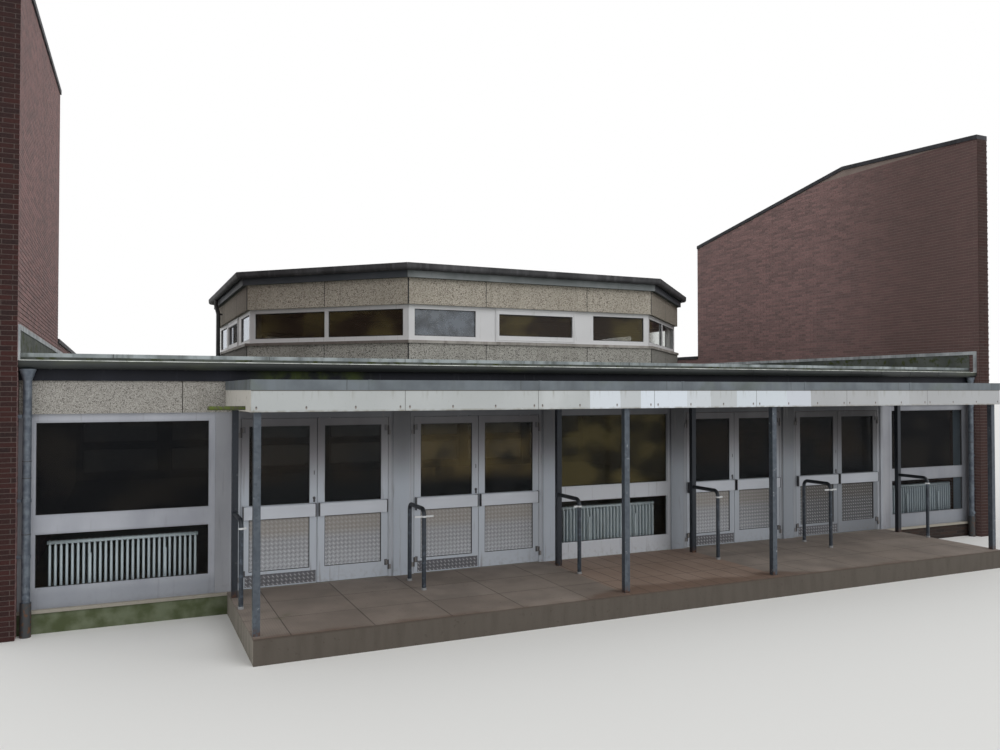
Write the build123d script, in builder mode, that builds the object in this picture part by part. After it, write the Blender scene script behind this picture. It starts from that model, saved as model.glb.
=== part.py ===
from build123d import *
from math import cos, radians, sin, sqrt, tan
import os

# A single-storey school entrance hall between two brick party walls, with an eight-sided
# clerestory lantern on its flat roof and a canopy over four pairs of glazed doors.
# X runs along the front, Y into the building and Z up. The origin is the middle of the hall
# at the lowest ground, and the hall floor lies floor_level above it. All sizes are in millimetres.
os.makedirs("parts", exist_ok=True)

# The hall: plan, levels and openings. Heights are above the hall floor unless they say otherwise.
front_row = ("window", "door", "door", "window", "door", "door", "window")
bay = 2530  # from the middle of one opening to the next
window_pier = 280  # between two windows
door_pier = 250  # between two pairs of doors
end_margin = 110  # between the end windows and the party walls
hall_depth = 16500  # over the fascia panels
floor_level = 300  # above the lowest ground
head_height = 2475  # top of door and window frames
ceiling_height = 3000  # underside of the roof slab
roof_thickness = 200

# Frames and glass
frame_recess = 40
frame_depth = 70
stile_width = 65
bottom_rail = 250
transom_low = 960
transom_high = 1170
top_rail = 95
glass_thickness = 12

# Walls below and beside the frames
plinth_thickness = 120
sill_thickness = 40
sill_nose = 25
pier_recess = 20
pier_thickness = 120
solid_joint = 2

# Party walls. Their tops slope, and step down to a low wall further back.
wall_thickness = 300
wall_reach = 230  # past the front and rear
low_wall_height = 3750
left_wall_profile = ((0, 8050), (7400, 8900))  # distance behind the front, height
right_wall_profile = ((0, 8100), (3400, 8300), (9200, 7200))
coping_thickness = 90
coping_lip = 25
upstand_height = 330
upstand_thickness = 15
flashing_height = 70
flashing_thickness = 8

# Roof edge
panel_thickness = 80
panel_joint = 10
outer_panel_width = 1930
middle_panel_count = 6
edge_trim_width = 60
edge_trim_crest = 25
edge_trim_height = 50
beam_thickness = 240
girder_width = 200
girder_depth = 350
board_thickness = 25
board_drop = 100  # below the ceiling
board_height = 250
gutter_radius = 70
gutter_side = 35
gutter_wall = 4
gutter_end_gap = 3
downpipe_radius = 50
collar_radius = 56
collar_height = 40
collar_heights = (700, 1400, 2450)
bracket_thickness = 12
hopper_width = 200
hopper_height = 150
standpipe_radius = 65
standpipe_height = 430
pipe_wall_gap = 5

# Doors
jamb_width = 75
door_head_height = 95
leaf_depth = 50
leaf_gap = 6
meeting_gap = 8
floor_gap = 8
leaf_stile = 105
leaf_top_rail = 105
leaf_bottom_rail = 230
lock_rail_low = 960
lock_rail_high = 1155
leaf_panel_thickness = 24
push_plate_height = 180
push_plate_thickness = 12
push_plate_stand_off = 40
push_plate_inset = 30
push_bracket_width = 30
kick_plate_low = 25
kick_plate_high = 190
kick_plate_thickness = 3
kick_plate_margin = 14
hinge_offset = 12
hinge_radius = 9
hinge_height = 70
hinge_flap = 40
hinge_play = 0.3
low_hinge_height = 215
high_hinge_drop = 154  # below the leaf's top

# Canopy and landing
canopy_overhang = 85  # past the middle of the outer posts
canopy_reach = 2390
canopy_clearance = 55  # from the frames' head to the board's lower edge
fascia_height = 250
fascia_board = 30
cap_lip = 6
canopy_deck_rise = 265  # from the frames' head to the deck
canopy_deck_thickness = 60
canopy_beam_depth = 140
canopy_beam_width = 80
purlin_width = 60
post_size = 80
outer_post_shift = 75  # inward from the middle of the outer piers
inner_post_shift = 45  # outward from the middle of the inner piers
front_post_line = 2280
wall_post_line = 340
landing_reach = 2430
landing_margin = 10
spout_radius = 24
spout_wall = 3
spout_length = 420
spout_setback = 440
spout_rise = 40  # above the board's lower edge

# Guard rails, and the catches on them that stop the opened leaves
rail_radius = 30
rail_top = 1150
rail_bend = 90
rail_outer = 1000
rail_inner = 370
rail_foot_radius = 37
rail_foot_height = 30
catch_ring_radius = 38
catch_height = 24
catch_arm_depth = 18
catch_play = 0.3
catch_stop_gap = 25  # short of the opened leaf's push plate

# Radiators behind the lower panes
radiator_columns = 28
column_pitch = 66
column_width = 34
column_depth = 90
radiator_low = 120
radiator_high = 830
header_height = 40
header_depth = 50
radiator_from_front = 230
foot_size = 40
foot_inset = 100

# Lantern: a square with its corners cut at 45 degrees. Its heights are above the hall floor.
lantern_width = 10650
lantern_cut = 2590  # along both sides of each corner
curb_top = 3670
lantern_sill_height = 55
lantern_frame_top = 4405
lantern_panel_top = 4900
lantern_roof_top = 5155
lantern_panel_thickness = 80
ring_thickness = 230
sill_lip = 30
lantern_joint = 8
centre_panel_width = 2280
lantern_frame_recess = 75
lantern_frame_depth = 70
lantern_pane_low = 3815
lantern_pane_high = 4325
corner_width = 150
infill_width = 420
sash_width = 1820
sash_border = 80
sash_proud = 15
mullion_width = 80
lantern_post_size = 120
lantern_post_gap = 4  # behind the frames
lantern_roof_overhang = 60
eaves_board_thickness = 25
lantern_gutter_radius = 65
lantern_gutter_side = 70
lantern_pipe_radius = 50
lantern_pipe_inset = 1150  # from the rear end of the lantern's left face
lantern_pipe_stand_off = 100  # from the panels to the pipe's middle
lantern_pipe_bend = 120
lantern_pipe_bend_drop = 20  # from the board's lower edge to the first bend
lantern_pipe_bend_height = 200  # between the two bends
lantern_bracket_heights = (3450, 4650)

board_low = ceiling_height - board_drop
board_high = board_low + board_height
fascia_low = head_height + canopy_clearance
fascia_high = fascia_low + fascia_height
window_width = bay - window_pier
door_set_width = bay - door_pier
hall_width = (len(front_row) - 1) * bay + window_width + 2 * end_margin
front = -hall_depth / 2
rear = hall_depth / 2
side = hall_width / 2
floor = floor_level
head = floor + head_height
roof_low = floor + ceiling_height
roof_top = roof_low + roof_thickness


def block(x, y, z):
    """Add a box that runs from the low to the high value given for each axis."""
    with Locations([((x[0] + x[1]) / 2, (y[0] + y[1]) / 2, (z[0] + z[1]) / 2)]):
        Box(x[1] - x[0], y[1] - y[0], z[1] - z[0])


def keep(part, name):
    """Name a finished piece and write it to its own file."""
    part.label = name
    export_step(part, f"parts/{name}.step")


# Openings of the front and the rear, from left to right, and the posts in front of the piers
places = [(number - (len(front_row) - 1) / 2) * bay for number in range(len(front_row))]
front_windows = [x for x, kind in zip(places, front_row) if kind == "window"]
door_sets = [x for x, kind in zip(places, front_row) if kind == "door"]
front_openings = sorted(
    [(x, window_width) for x in front_windows] + [(x, door_set_width) for x in door_sets]
)
rear_openings = [(x, window_width) for x in places]
outer_post = 2.5 * bay - outer_post_shift
inner_post = 0.5 * bay + inner_post_shift
post_lines = (-outer_post, -inner_post, inner_post, outer_post)
half_post = post_size / 2
landing_half = outer_post + half_post + landing_margin

# Floor slab of the hall, cast between the plinths and the party walls
with BuildPart() as floor_slab:
    block((-side, side), (front + plinth_thickness, rear - plinth_thickness), (0, floor))
keep(floor_slab.part, "floor_slab")

# Brick plinths under the front and the rear
with BuildPart() as plinths:
    for low in (front, rear - plinth_thickness):
        block((-side, side), (low, low + plinth_thickness), (0, floor - sill_thickness))
keep(plinths.part, "plinths")

# Concrete sills, flush under the doors and with a nose under the windows
with BuildPart() as sills:
    sill = (floor - sill_thickness, floor)
    inner = front + plinth_thickness
    for x in ((-side, -landing_half - solid_joint), (landing_half + solid_joint, side)):
        block(x, (front - sill_nose, inner), sill)
    block((-landing_half, landing_half), (front, inner), sill)
    block((-side, side), (rear - plinth_thickness, rear + sill_nose), sill)
keep(sills.part, "sills")

# Concrete landing under the canopy
with BuildPart() as entrance_landing:
    block((-landing_half, landing_half), (front - landing_reach, front), (0, floor))
keep(entrance_landing.part, "entrance_landing")


def wall_outline(profile):
    """Corners of a party wall seen from its side, from the front foot round to the rear foot."""
    foot = front - wall_reach
    high = [(foot, floor + profile[0][1])]
    high += [(front + along, floor + height) for along, height in profile[1:]]
    low = floor + low_wall_height
    end = rear + wall_reach
    return [(foot, 0)] + high + [(high[-1][0], low), (end, low), (end, 0)]


# Brick party walls
with BuildPart() as party_wall_left:
    with BuildSketch(Plane.YZ.offset(-side - wall_thickness)):
        Polygon(*wall_outline(left_wall_profile), align=None)
    extrude(amount=wall_thickness)
keep(party_wall_left.part, "party_wall_left")

with BuildPart() as party_wall_right:
    with BuildSketch(Plane.YZ.offset(side)):
        Polygon(*wall_outline(right_wall_profile), align=None)
    extrude(amount=wall_thickness)
keep(party_wall_right.part, "party_wall_right")


def coping_outline(profile):
    """Side view of the sheet metal that lies on the sloping top of a party wall."""
    top = wall_outline(profile)[1:-3]
    return top + [(y, z + coping_thickness) for y, z in reversed(top)]


# Dark metal copings, flush outside and with a lip over the hall
with BuildPart() as wall_copings:
    for edge, profile in (
        (-side - wall_thickness, left_wall_profile),
        (side - coping_lip, right_wall_profile),
    ):
        with BuildSketch(Plane.YZ.offset(edge)):
            Polygon(*coping_outline(profile), align=None)
        extrude(amount=wall_thickness + coping_lip)
        back = front + profile[-1][0] + solid_joint
        low = floor + low_wall_height
        block(
            (edge, edge + wall_thickness + coping_lip),
            (back, rear + wall_reach),
            (low, low + coping_thickness),
        )
keep(wall_copings.part, "wall_copings")

# Roof slab with the eight-sided opening of the lantern
lantern_half = lantern_width / 2
straight_length = lantern_width - 2 * lantern_cut
diagonal_length = lantern_cut * sqrt(2)
diagonal_distance = (lantern_width - lantern_cut) / sqrt(2)
mitre = tan(radians(22.5))
lantern_faces = []
for quarter in range(4):
    lantern_faces.append((90 * quarter - 90, lantern_half, straight_length))
    lantern_faces.append((90 * quarter - 45, diagonal_distance, diagonal_length))


def octagon(inset):
    """Corners of the lantern's outline, drawn in by inset."""
    far = lantern_half - inset
    near = straight_length / 2 - inset * mitre
    corners = [(-near, -far), (near, -far), (far, -near), (far, near)]
    return corners + [(-x, -y) for x, y in corners]


curb_inset = lantern_panel_thickness + ring_thickness
with BuildPart() as roof_slab:
    with BuildSketch(Plane.XY.offset(roof_low)):
        Rectangle(hall_width, hall_depth)
        Polygon(*octagon(curb_inset), align=None, mode=Mode.SUBTRACT)
    extrude(amount=roof_thickness)
keep(roof_slab.part, "roof_slab")

# Beams: one over the front and one over the rear, and girders that frame the lantern
girder_line = lantern_half - lantern_panel_thickness - ring_thickness / 2
with BuildPart() as roof_beams:
    for low in (front + panel_thickness, rear - panel_thickness - beam_thickness):
        block((-side, side), (low, low + beam_thickness), (head, roof_low))
    girder = (roof_low - girder_depth, roof_low)
    half = girder_width / 2
    for line in (-girder_line, girder_line):
        block((-side, side), (line - half, line + half), girder)
    inside = front + panel_thickness + beam_thickness + solid_joint
    gap = half + solid_joint
    for line in (-girder_line, girder_line):
        for y in (
            (inside, -girder_line - gap),
            (-girder_line + gap, girder_line - gap),
            (girder_line + gap, -inside),
        ):
            block((line - half, line + half), y, girder)
keep(roof_beams.part, "roof_beams")

# Exposed-aggregate panels over the doors and windows
middle_width = (hall_width - 2 * outer_panel_width) / middle_panel_count
panel_edges = [-side, -side + outer_panel_width]
for _ in range(middle_panel_count):
    panel_edges.append(panel_edges[-1] + middle_width)
panel_edges.append(side)
with BuildPart() as fascia_panels:
    for low in (front, rear - panel_thickness):
        for left, right in zip(panel_edges, panel_edges[1:]):
            block(
                (left + panel_joint / 2, right - panel_joint / 2),
                (low, low + panel_thickness),
                (head, roof_low),
            )
keep(fascia_panels.part, "fascia_panels")

# Dark boards behind the gutters
with BuildPart() as eaves_boards:
    for low in (front - board_thickness, rear):
        block((-side, side), (low, low + board_thickness), (floor + board_low, floor + board_high))
keep(eaves_boards.part, "eaves_boards")


def channel(radius, straight, wall):
    """Section of a half-round gutter: its lip at the top, its middle on the vertical axis."""
    with BuildSketch(mode=Mode.PRIVATE) as section:
        with Locations((0, -straight / 2)):
            Rectangle(2 * radius, straight)
        with Locations((0, -straight)):
            Circle(radius)
        with Locations((0, -straight / 2 + wall / 2)):
            Rectangle(2 * (radius - wall), straight + wall, mode=Mode.SUBTRACT)
        with Locations((0, -straight)):
            Circle(radius - wall, mode=Mode.SUBTRACT)
        with Locations((0, radius)):
            Rectangle(4 * radius, 2 * radius, mode=Mode.SUBTRACT)
    return section.sketch


# Half-round zinc gutters with closed ends
gutter_centre = board_thickness + gutter_radius
gutter_section = channel(gutter_radius, gutter_side, gutter_wall)
gutter_length = hall_width - 2 * gutter_end_gap
with BuildPart() as gutters:
    for line in (front - gutter_centre, rear + gutter_centre):
        start = Plane(
            origin=(-gutter_length / 2, line, floor + board_high), x_dir=(0, 1, 0), z_dir=(1, 0, 0)
        )
        extrude(start * gutter_section, amount=gutter_length)
        for end in (-gutter_length / 2, gutter_length / 2 - gutter_wall):
            cap = Plane(origin=(end, line, floor + board_high), x_dir=(0, 1, 0), z_dir=(1, 0, 0))
            with BuildSketch(cap):
                with Locations((0, -gutter_side / 2)):
                    Rectangle(2 * gutter_radius, gutter_side)
                with Locations((0, -gutter_side)):
                    Circle(gutter_radius)
                with Locations((0, gutter_radius)):
                    Rectangle(4 * gutter_radius, 2 * gutter_radius, mode=Mode.SUBTRACT)
            extrude(amount=gutter_wall)
keep(gutters.part, "gutters")

# Downpipes with hopper heads at the four corners, on standpipes that rise from the ground.
# Each collar has a bracket to the party wall.
pipe_x = side - hopper_width / 2 - pipe_wall_gap
hopper_top = floor + board_high - gutter_side - gutter_radius
hopper_low = hopper_top - hopper_height
with BuildPart() as downpipes:
    for x in (-pipe_x, pipe_x):
        for line in (front - gutter_centre, rear + gutter_centre):
            with Locations((x, line, 0)):
                Cylinder(standpipe_radius, standpipe_height, align=(Align.CENTER, Align.CENTER, Align.MIN))
            with Locations((x, line, standpipe_height)):
                Cylinder(
                    downpipe_radius,
                    hopper_low - standpipe_height,
                    align=(Align.CENTER, Align.CENTER, Align.MIN),
                )
            for height in collar_heights:
                with Locations((x, line, floor + height)):
                    Cylinder(collar_radius, collar_height)
                block(
                    sorted((x, side if x > 0 else -side)),
                    (line - bracket_thickness / 2, line + bracket_thickness / 2),
                    (floor + height - collar_height / 2, floor + height + collar_height / 2),
                )
            with BuildSketch(Plane((x, line, hopper_low))):
                Circle(downpipe_radius)
            with BuildSketch(Plane((x, line, hopper_top))):
                Ellipse(hopper_width / 2, gutter_radius)
            loft()
keep(downpipes.part, "downpipes")

# Roofing turned up against the party walls, and the zinc strip that covers its top edge
with BuildPart() as roof_upstands:
    for low in (-side, side - upstand_thickness):
        block((low, low + upstand_thickness), (front, rear), (roof_top, roof_top + upstand_height))
keep(roof_upstands.part, "roof_upstands")

# Sheet metal trims that hold the roofing's edge over the gutters
trim_end = side - upstand_thickness - solid_joint
with BuildPart() as roof_edge_trims:
    for edge, inward in ((front, 1), (rear, -1)):
        profile = [(edge, roof_top), (edge + inward * edge_trim_width, roof_top),
                   (edge + inward * edge_trim_crest, roof_top + edge_trim_height),
                   (edge, roof_top + edge_trim_height)]
        with BuildSketch(Plane.YZ.offset(-trim_end)):
            Polygon(*profile, align=None)
        extrude(amount=2 * trim_end)
keep(roof_edge_trims.part, "roof_edge_trims")

flashing_depth = upstand_thickness + flashing_thickness
strip_reach = gutter_centre + gutter_radius
with BuildPart() as wall_flashings:
    for low in (-side, side - flashing_depth):
        x = (low, low + flashing_depth)
        top = roof_top + upstand_height + flashing_height
        block(x, (front - strip_reach, rear + strip_reach), (top - flashing_height, top))
        for y in (
            (front - strip_reach, front - strip_reach + flashing_height),
            (rear + strip_reach - flashing_height, rear + strip_reach),
        ):
            block(x, y, (floor + board_high, top - flashing_height))
keep(wall_flashings.part, "wall_flashings")

# Piers of sheet-faced panels that fill the front and the rear beside the openings
with BuildPart() as facade_piers:
    for openings, low in (
        (front_openings, front + pier_recess),
        (rear_openings, rear - pier_recess - pier_thickness),
    ):
        edges = [(-side, 0)] + openings + [(side, 0)]
        for (left, left_width), (right, right_width) in zip(edges, edges[1:]):
            block(
                (left + left_width / 2, right - right_width / 2),
                (low, low + pier_thickness),
                (floor, head),
            )
keep(facade_piers.part, "facade_piers")

# Windows: a frame with a deep bottom rail and transom, and a pane above and below it
frame_low = front + frame_recess
rear_frame_low = rear - frame_recess - frame_depth
window_places = [(x, frame_low) for x in front_windows] + [(x, rear_frame_low) for x in places]
pane_width = window_width - 2 * stile_width
pane_heights = ((bottom_rail, transom_low), (transom_high, head_height - top_rail))
with BuildPart() as window_frames:
    for x, low in window_places:
        with BuildSketch(Plane.XZ.offset(-low)):
            with Locations((x, floor + head_height / 2)):
                Rectangle(window_width, head_height)
            for bottom, top in pane_heights:
                with Locations((x, floor + (bottom + top) / 2)):
                    Rectangle(pane_width, top - bottom, mode=Mode.SUBTRACT)
        extrude(amount=-frame_depth)
keep(window_frames.part, "window_frames")

with BuildPart() as window_glass:
    for x, low in window_places:
        for bottom, top in pane_heights:
            middle = low + frame_depth / 2
            block(
                (x - pane_width / 2, x + pane_width / 2),
                (middle - glass_thickness / 2, middle + glass_thickness / 2),
                (floor + bottom, floor + top),
            )
keep(window_glass.part, "window_glass")

# Column radiators on feet behind the lower panes of the front
radiator_length = radiator_columns * column_pitch
radiator_middle = front + radiator_from_front + column_depth / 2
with BuildPart() as radiator:
    with BuildSketch(Plane.XY.offset(floor + radiator_low)):
        with GridLocations(column_pitch, 0, radiator_columns, 1):
            Rectangle(column_width, column_depth)
    extrude(amount=radiator_high - radiator_low)
    for base in (radiator_low, radiator_high - header_height):
        with BuildSketch(Plane.XY.offset(floor + base)):
            Rectangle(radiator_length, header_depth)
        extrude(amount=header_height)
    with BuildSketch(Plane.XY.offset(floor)):
        with GridLocations(radiator_length - 2 * foot_inset, 0, 2, 1):
            Rectangle(foot_size, foot_size)
    extrude(amount=radiator_low)
with BuildPart() as radiators:
    with Locations([(x, radiator_middle, 0) for x in front_windows]):
        add(radiator.part)
keep(radiators.part, "radiators")

# Door frames: jambs that carry the hinges, and heads between the piers
door_low = frame_low
clear_width = door_set_width - 2 * jamb_width
leaf_width = (clear_width - 2 * leaf_gap - meeting_gap) / 2
leaf_top = head_height - door_head_height - leaf_gap
hinge_heights = (low_hinge_height, leaf_top - high_hinge_drop)
hinge_y = door_low - hinge_offset
hinge_x = clear_width / 2 - leaf_gap / 2
with BuildPart() as jamb_pair:
    for hand in (-1, 1):
        edges = sorted((hand * clear_width / 2, hand * door_set_width / 2))
        block(edges, (door_low, door_low + frame_depth), (floor, head - door_head_height))
        axis = hand * hinge_x
        for height in hinge_heights:
            base = floor + height - 1.5 * hinge_height - hinge_play
            with Locations((axis, hinge_y, base)):
                Cylinder(hinge_radius, hinge_height, align=(Align.CENTER, Align.CENTER, Align.MIN))
            block(
                sorted((axis, axis + hand * hinge_flap)),
                (hinge_y, door_low),
                (base, base + hinge_height),
            )
with BuildPart() as door_jambs:
    with Locations([(x, 0, 0) for x in door_sets]):
        add(jamb_pair.part)
keep(door_jambs.part, "door_jambs")

with BuildPart() as door_heads:
    for x in door_sets:
        block(
            (x - door_set_width / 2, x + door_set_width / 2),
            (door_low, door_low + frame_depth),
            (head - door_head_height, head),
        )
keep(door_heads.part, "door_heads")

# Door leaves: glazed above the lock rail, a sheet panel below, a push plate outside, and a kick
# plate on each left one. Each turns outward on its outer stile.
pane_low = floor + lock_rail_high
pane_high = floor + leaf_top - leaf_top_rail
panel_low = floor + leaf_bottom_rail
panel_high = floor + lock_rail_low
leaf_pane_width = leaf_width - 2 * leaf_stile
for number, x in enumerate(door_sets, start=1):
    for hand, hand_name in ((-1, "left"), (1, "right")):
        axis = x + hand * hinge_x
        outer = axis - hand * leaf_gap / 2
        middle = outer - hand * leaf_width / 2
        name = f"door_{number}_{hand_name}"
        with BuildPart() as leaf:
            with BuildSketch(Plane.XZ.offset(-door_low)):
                with Locations((middle, floor + (floor_gap + leaf_top) / 2)):
                    Rectangle(leaf_width, leaf_top - floor_gap)
                for low, high in ((panel_low, panel_high), (pane_low, pane_high)):
                    with Locations((middle, (low + high) / 2)):
                        Rectangle(leaf_pane_width, high - low, mode=Mode.SUBTRACT)
            extrude(amount=-leaf_depth)
            panel_y = door_low + (leaf_depth - leaf_panel_thickness) / 2
            block(
                (middle - leaf_pane_width / 2, middle + leaf_pane_width / 2),
                (panel_y, panel_y + leaf_panel_thickness),
                (panel_low, panel_high),
            )
            plate_middle = floor + (lock_rail_low + lock_rail_high) / 2
            plate = (plate_middle - push_plate_height / 2, plate_middle + push_plate_height / 2)
            plate_y = door_low - push_plate_stand_off
            plate_half = leaf_width / 2 - push_plate_inset
            block(
                (middle - plate_half, middle + plate_half),
                (plate_y - push_plate_thickness, plate_y),
                plate,
            )
            for bracket in (middle - plate_half, middle + plate_half - push_bracket_width):
                block((bracket, bracket + push_bracket_width), (plate_y, door_low), plate)
            if hand_name == "left":
                block(
                    (axis + hinge_flap + kick_plate_margin, outer + leaf_width - kick_plate_margin),
                    (door_low - kick_plate_thickness, door_low),
                    (floor + kick_plate_low, floor + kick_plate_high),
                )
            for height in hinge_heights:
                with Locations((axis, hinge_y, floor + height)):
                    Cylinder(hinge_radius, hinge_height)
                block(
                    sorted((axis, axis - hand * hinge_flap)),
                    (hinge_y, door_low),
                    (floor + height - hinge_height / 2, floor + height + hinge_height / 2),
                )
        keep(leaf.part, f"{name}_leaf")
        with BuildPart() as leaf_glass:
            glass_y = door_low + (leaf_depth - glass_thickness) / 2
            block(
                (middle - leaf_pane_width / 2, middle + leaf_pane_width / 2),
                (glass_y, glass_y + glass_thickness),
                (pane_low, pane_high),
            )
        keep(leaf_glass.part, f"{name}_glass")

# Canopy: square posts in two rows, beams over them, a deck, a board and a zinc cap round it
beam_top = head + canopy_deck_rise
beam_low = beam_top - canopy_beam_depth
with BuildPart() as canopy_posts:
    for x in post_lines:
        for line in (front_post_line, wall_post_line):
            y = front - line
            block((x - half_post, x + half_post), (y - half_post, y + half_post), (floor, beam_low))
keep(canopy_posts.part, "canopy_posts")

half_beam = canopy_beam_width / 2
with BuildPart() as canopy_beams:
    for x in post_lines:
        y = (front - front_post_line - half_post, front)
        block((x - half_beam, x + half_beam), y, (beam_low, beam_top))
    for left, right in zip(post_lines, post_lines[1:]):
        for line in (front_post_line, wall_post_line):
            y = front - line
            block(
                (left + half_beam + solid_joint, right - half_beam - solid_joint),
                (y - purlin_width / 2, y + purlin_width / 2),
                (beam_low, beam_top),
            )
keep(canopy_beams.part, "canopy_beams")

canopy_half = outer_post + canopy_overhang
canopy_front = front - canopy_reach
with BuildPart() as canopy_deck:
    block(
        (-canopy_half + fascia_board, canopy_half - fascia_board),
        (canopy_front + fascia_board, front),
        (beam_top, beam_top + canopy_deck_thickness),
    )
keep(canopy_deck.part, "canopy_deck")


def edge_strips(outset, thickness):
    """Plan outlines of three mitred strips round the front and the sides of the canopy."""
    out = canopy_half + outset
    inner = out - thickness
    near = canopy_front - outset
    gap = solid_joint / 2
    strips = [[(-out + gap, near), (out - gap, near), (inner - gap, near + thickness),
               (-inner + gap, near + thickness)]]
    for hand in (-1, 1):
        strips.append([(hand * out, near + gap), (hand * out, front), (hand * inner, front),
                       (hand * inner, near + thickness + gap)])
    return strips


with BuildPart() as canopy_fascia:
    for strip in edge_strips(0, fascia_board):
        with BuildSketch(Plane.XY.offset(floor + fascia_low)):
            Polygon(*strip, align=None)
        extrude(amount=fascia_high - fascia_low)
keep(canopy_fascia.part, "canopy_fascia")

with BuildPart() as canopy_flashing:
    for strip in edge_strips(cap_lip, fascia_board + cap_lip):
        with BuildSketch(Plane.XY.offset(floor + fascia_high)):
            Polygon(*strip, align=None)
        extrude(amount=board_low - fascia_high)
keep(canopy_flashing.part, "canopy_flashing")

# Drain spout that sticks out of the left end of the canopy
with BuildPart() as drain_spout:
    mouth = Plane(
        origin=(-canopy_half, canopy_front + spout_setback, floor + fascia_low + spout_rise),
        x_dir=(0, 1, 0),
        z_dir=(-1, 0, 0),
    )
    with BuildSketch(mouth):
        Circle(spout_radius)
        Circle(spout_radius - spout_wall, mode=Mode.SUBTRACT)
    extrude(amount=spout_length)
keep(drain_spout.part, "drain_spout")

# Guard rails of bent tube with a collar at each foot: a hoop between the doors of each pair, and a
# half hoop on each wall post
rail_height = floor + rail_top - rail_radius
rail_leg = front - rail_outer
hoop_lines = (-1.5 * bay, 1.5 * bay)
guard_paths = [(x, front - rail_inner, True) for x in hoop_lines]
guard_paths += [(x, front - wall_post_line - half_post, False) for x in post_lines]
with BuildPart() as guard_rails:
    for x, start, whole in guard_paths:
        corners = [(rail_leg, floor), (rail_leg, rail_height), (start, rail_height)]
        bends = [rail_bend]
        feet = [(x, rail_leg, floor)]
        if whole:
            corners.append((start, floor))
            bends.append(rail_bend)
            feet.append((x, start, floor))
        with BuildLine(Plane.YZ.offset(x)) as path:
            FilletPolyline(*corners, radius=bends)
        with BuildSketch(Plane((x, rail_leg, floor))):
            Circle(rail_radius)
        sweep(path=path.line)
        with Locations(feet):
            Cylinder(rail_foot_radius, rail_foot_height, align=(Align.CENTER, Align.CENTER, Align.MIN))
keep(guard_rails.part, "guard_rails")

# Catches clamped round the outer legs, with an arm towards each leaf that opens against them
catch_top = rail_height - rail_bend
leaf_axes = [x + hand * hinge_x for x in door_sets for hand in (-1, 1)]
plate_reach = push_plate_stand_off + push_plate_thickness - hinge_offset
with BuildPart() as door_catches:
    for x in hoop_lines + post_lines:
        with Locations((x, rail_leg, catch_top - catch_height / 2)):
            Cylinder(catch_ring_radius, catch_height)
        for leaf_axis in leaf_axes:
            distance = abs(leaf_axis - x)
            if distance < bay / 4:
                reach = distance - plate_reach - catch_stop_gap
                block(
                    sorted((x, x + reach * (1 if leaf_axis > x else -1))),
                    (rail_leg - catch_arm_depth / 2, rail_leg + catch_arm_depth / 2),
                    (catch_top - catch_height, catch_top),
                )
    with Locations([(x, rail_leg, catch_top - catch_height / 2) for x in hoop_lines + post_lines]):
        Cylinder(rail_radius + catch_play, catch_height, mode=Mode.SUBTRACT)
keep(door_catches.part, "door_catches")


def face_plane(face, z):
    """Level plane at a face of the lantern: x runs along it to the right, y goes inward."""
    turn, distance, _ = face
    out = (cos(radians(turn)), sin(radians(turn)))
    return Plane(origin=(distance * out[0], distance * out[1], z), x_dir=(-out[1], out[0], 0))


def upright_plane(face, depth):
    """Upright plane behind a face of the lantern: x runs along it to the right, y goes up."""
    turn, distance, _ = face
    out = (cos(radians(turn)), sin(radians(turn)), 0)
    reach = distance - depth
    origin = (reach * out[0], reach * out[1], 0)
    return Plane(origin=origin, x_dir=(-out[1], out[0], 0), z_dir=out)


def mitred_pieces(length, near, far, joint, cuts=()):
    """Plan outlines of the pieces of one face between two depths, parted at the cuts along it."""
    half_near = length / 2 - near * mitre - joint / 2
    half_far = length / 2 - far * mitre - joint / 2
    starts = [(-half_near, -half_far)] + [(cut + joint / 2, cut + joint / 2) for cut in cuts]
    ends = [(cut - joint / 2, cut - joint / 2) for cut in cuts] + [(half_near, half_far)]
    return [
        [(start, near), (end, near), (end_far, far), (start_far, far)]
        for (start, start_far), (end, end_far) in zip(starts, ends)
    ]


def ring_outlines(near, far, joint, panels=False):
    """Pieces of a whole ring of the lantern, each with the face that it belongs to."""
    pieces = []
    for face in lantern_faces:
        length = face[2]
        straight = face[0] % 90 == 0
        cuts = ()
        if panels:
            cuts = (-centre_panel_width / 2, centre_panel_width / 2) if straight else (0,)
        for outline in mitred_pieces(length, near, far, joint, cuts):
            pieces.append((face, outline))
    return pieces


curb_low = roof_top
curb_high = floor + curb_top
frame_base = curb_high + lantern_sill_height
frame_top = floor + lantern_frame_top
panel_top = floor + lantern_panel_top

# Lantern ring beams: the curb on the roof slab, and the head beam over the glazing
with BuildPart() as lantern_ring_beams:
    for face, outline in ring_outlines(lantern_panel_thickness, curb_inset, solid_joint):
        for low, high in ((curb_low, curb_high), (frame_top, panel_top)):
            with BuildSketch(face_plane(face, low)):
                Polygon(*outline, align=None)
            extrude(amount=high - low)
keep(lantern_ring_beams.part, "lantern_ring_beams")

with BuildPart() as lantern_lower_panels:
    for face, outline in ring_outlines(0, lantern_panel_thickness, lantern_joint, panels=True):
        with BuildSketch(face_plane(face, curb_low)):
            Polygon(*outline, align=None)
        extrude(amount=curb_high - curb_low)
keep(lantern_lower_panels.part, "lantern_lower_panels")

with BuildPart() as lantern_upper_panels:
    for face, outline in ring_outlines(0, lantern_panel_thickness, lantern_joint, panels=True):
        with BuildSketch(face_plane(face, frame_top)):
            Polygon(*outline, align=None)
        extrude(amount=panel_top - frame_top)
keep(lantern_upper_panels.part, "lantern_upper_panels")

with BuildPart() as lantern_sill:
    for face, outline in ring_outlines(-sill_lip, curb_inset, solid_joint):
        with BuildSketch(face_plane(face, curb_high)):
            Polygon(*outline, align=None)
        extrude(amount=lantern_sill_height)
keep(lantern_sill.part, "lantern_sill")


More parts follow.
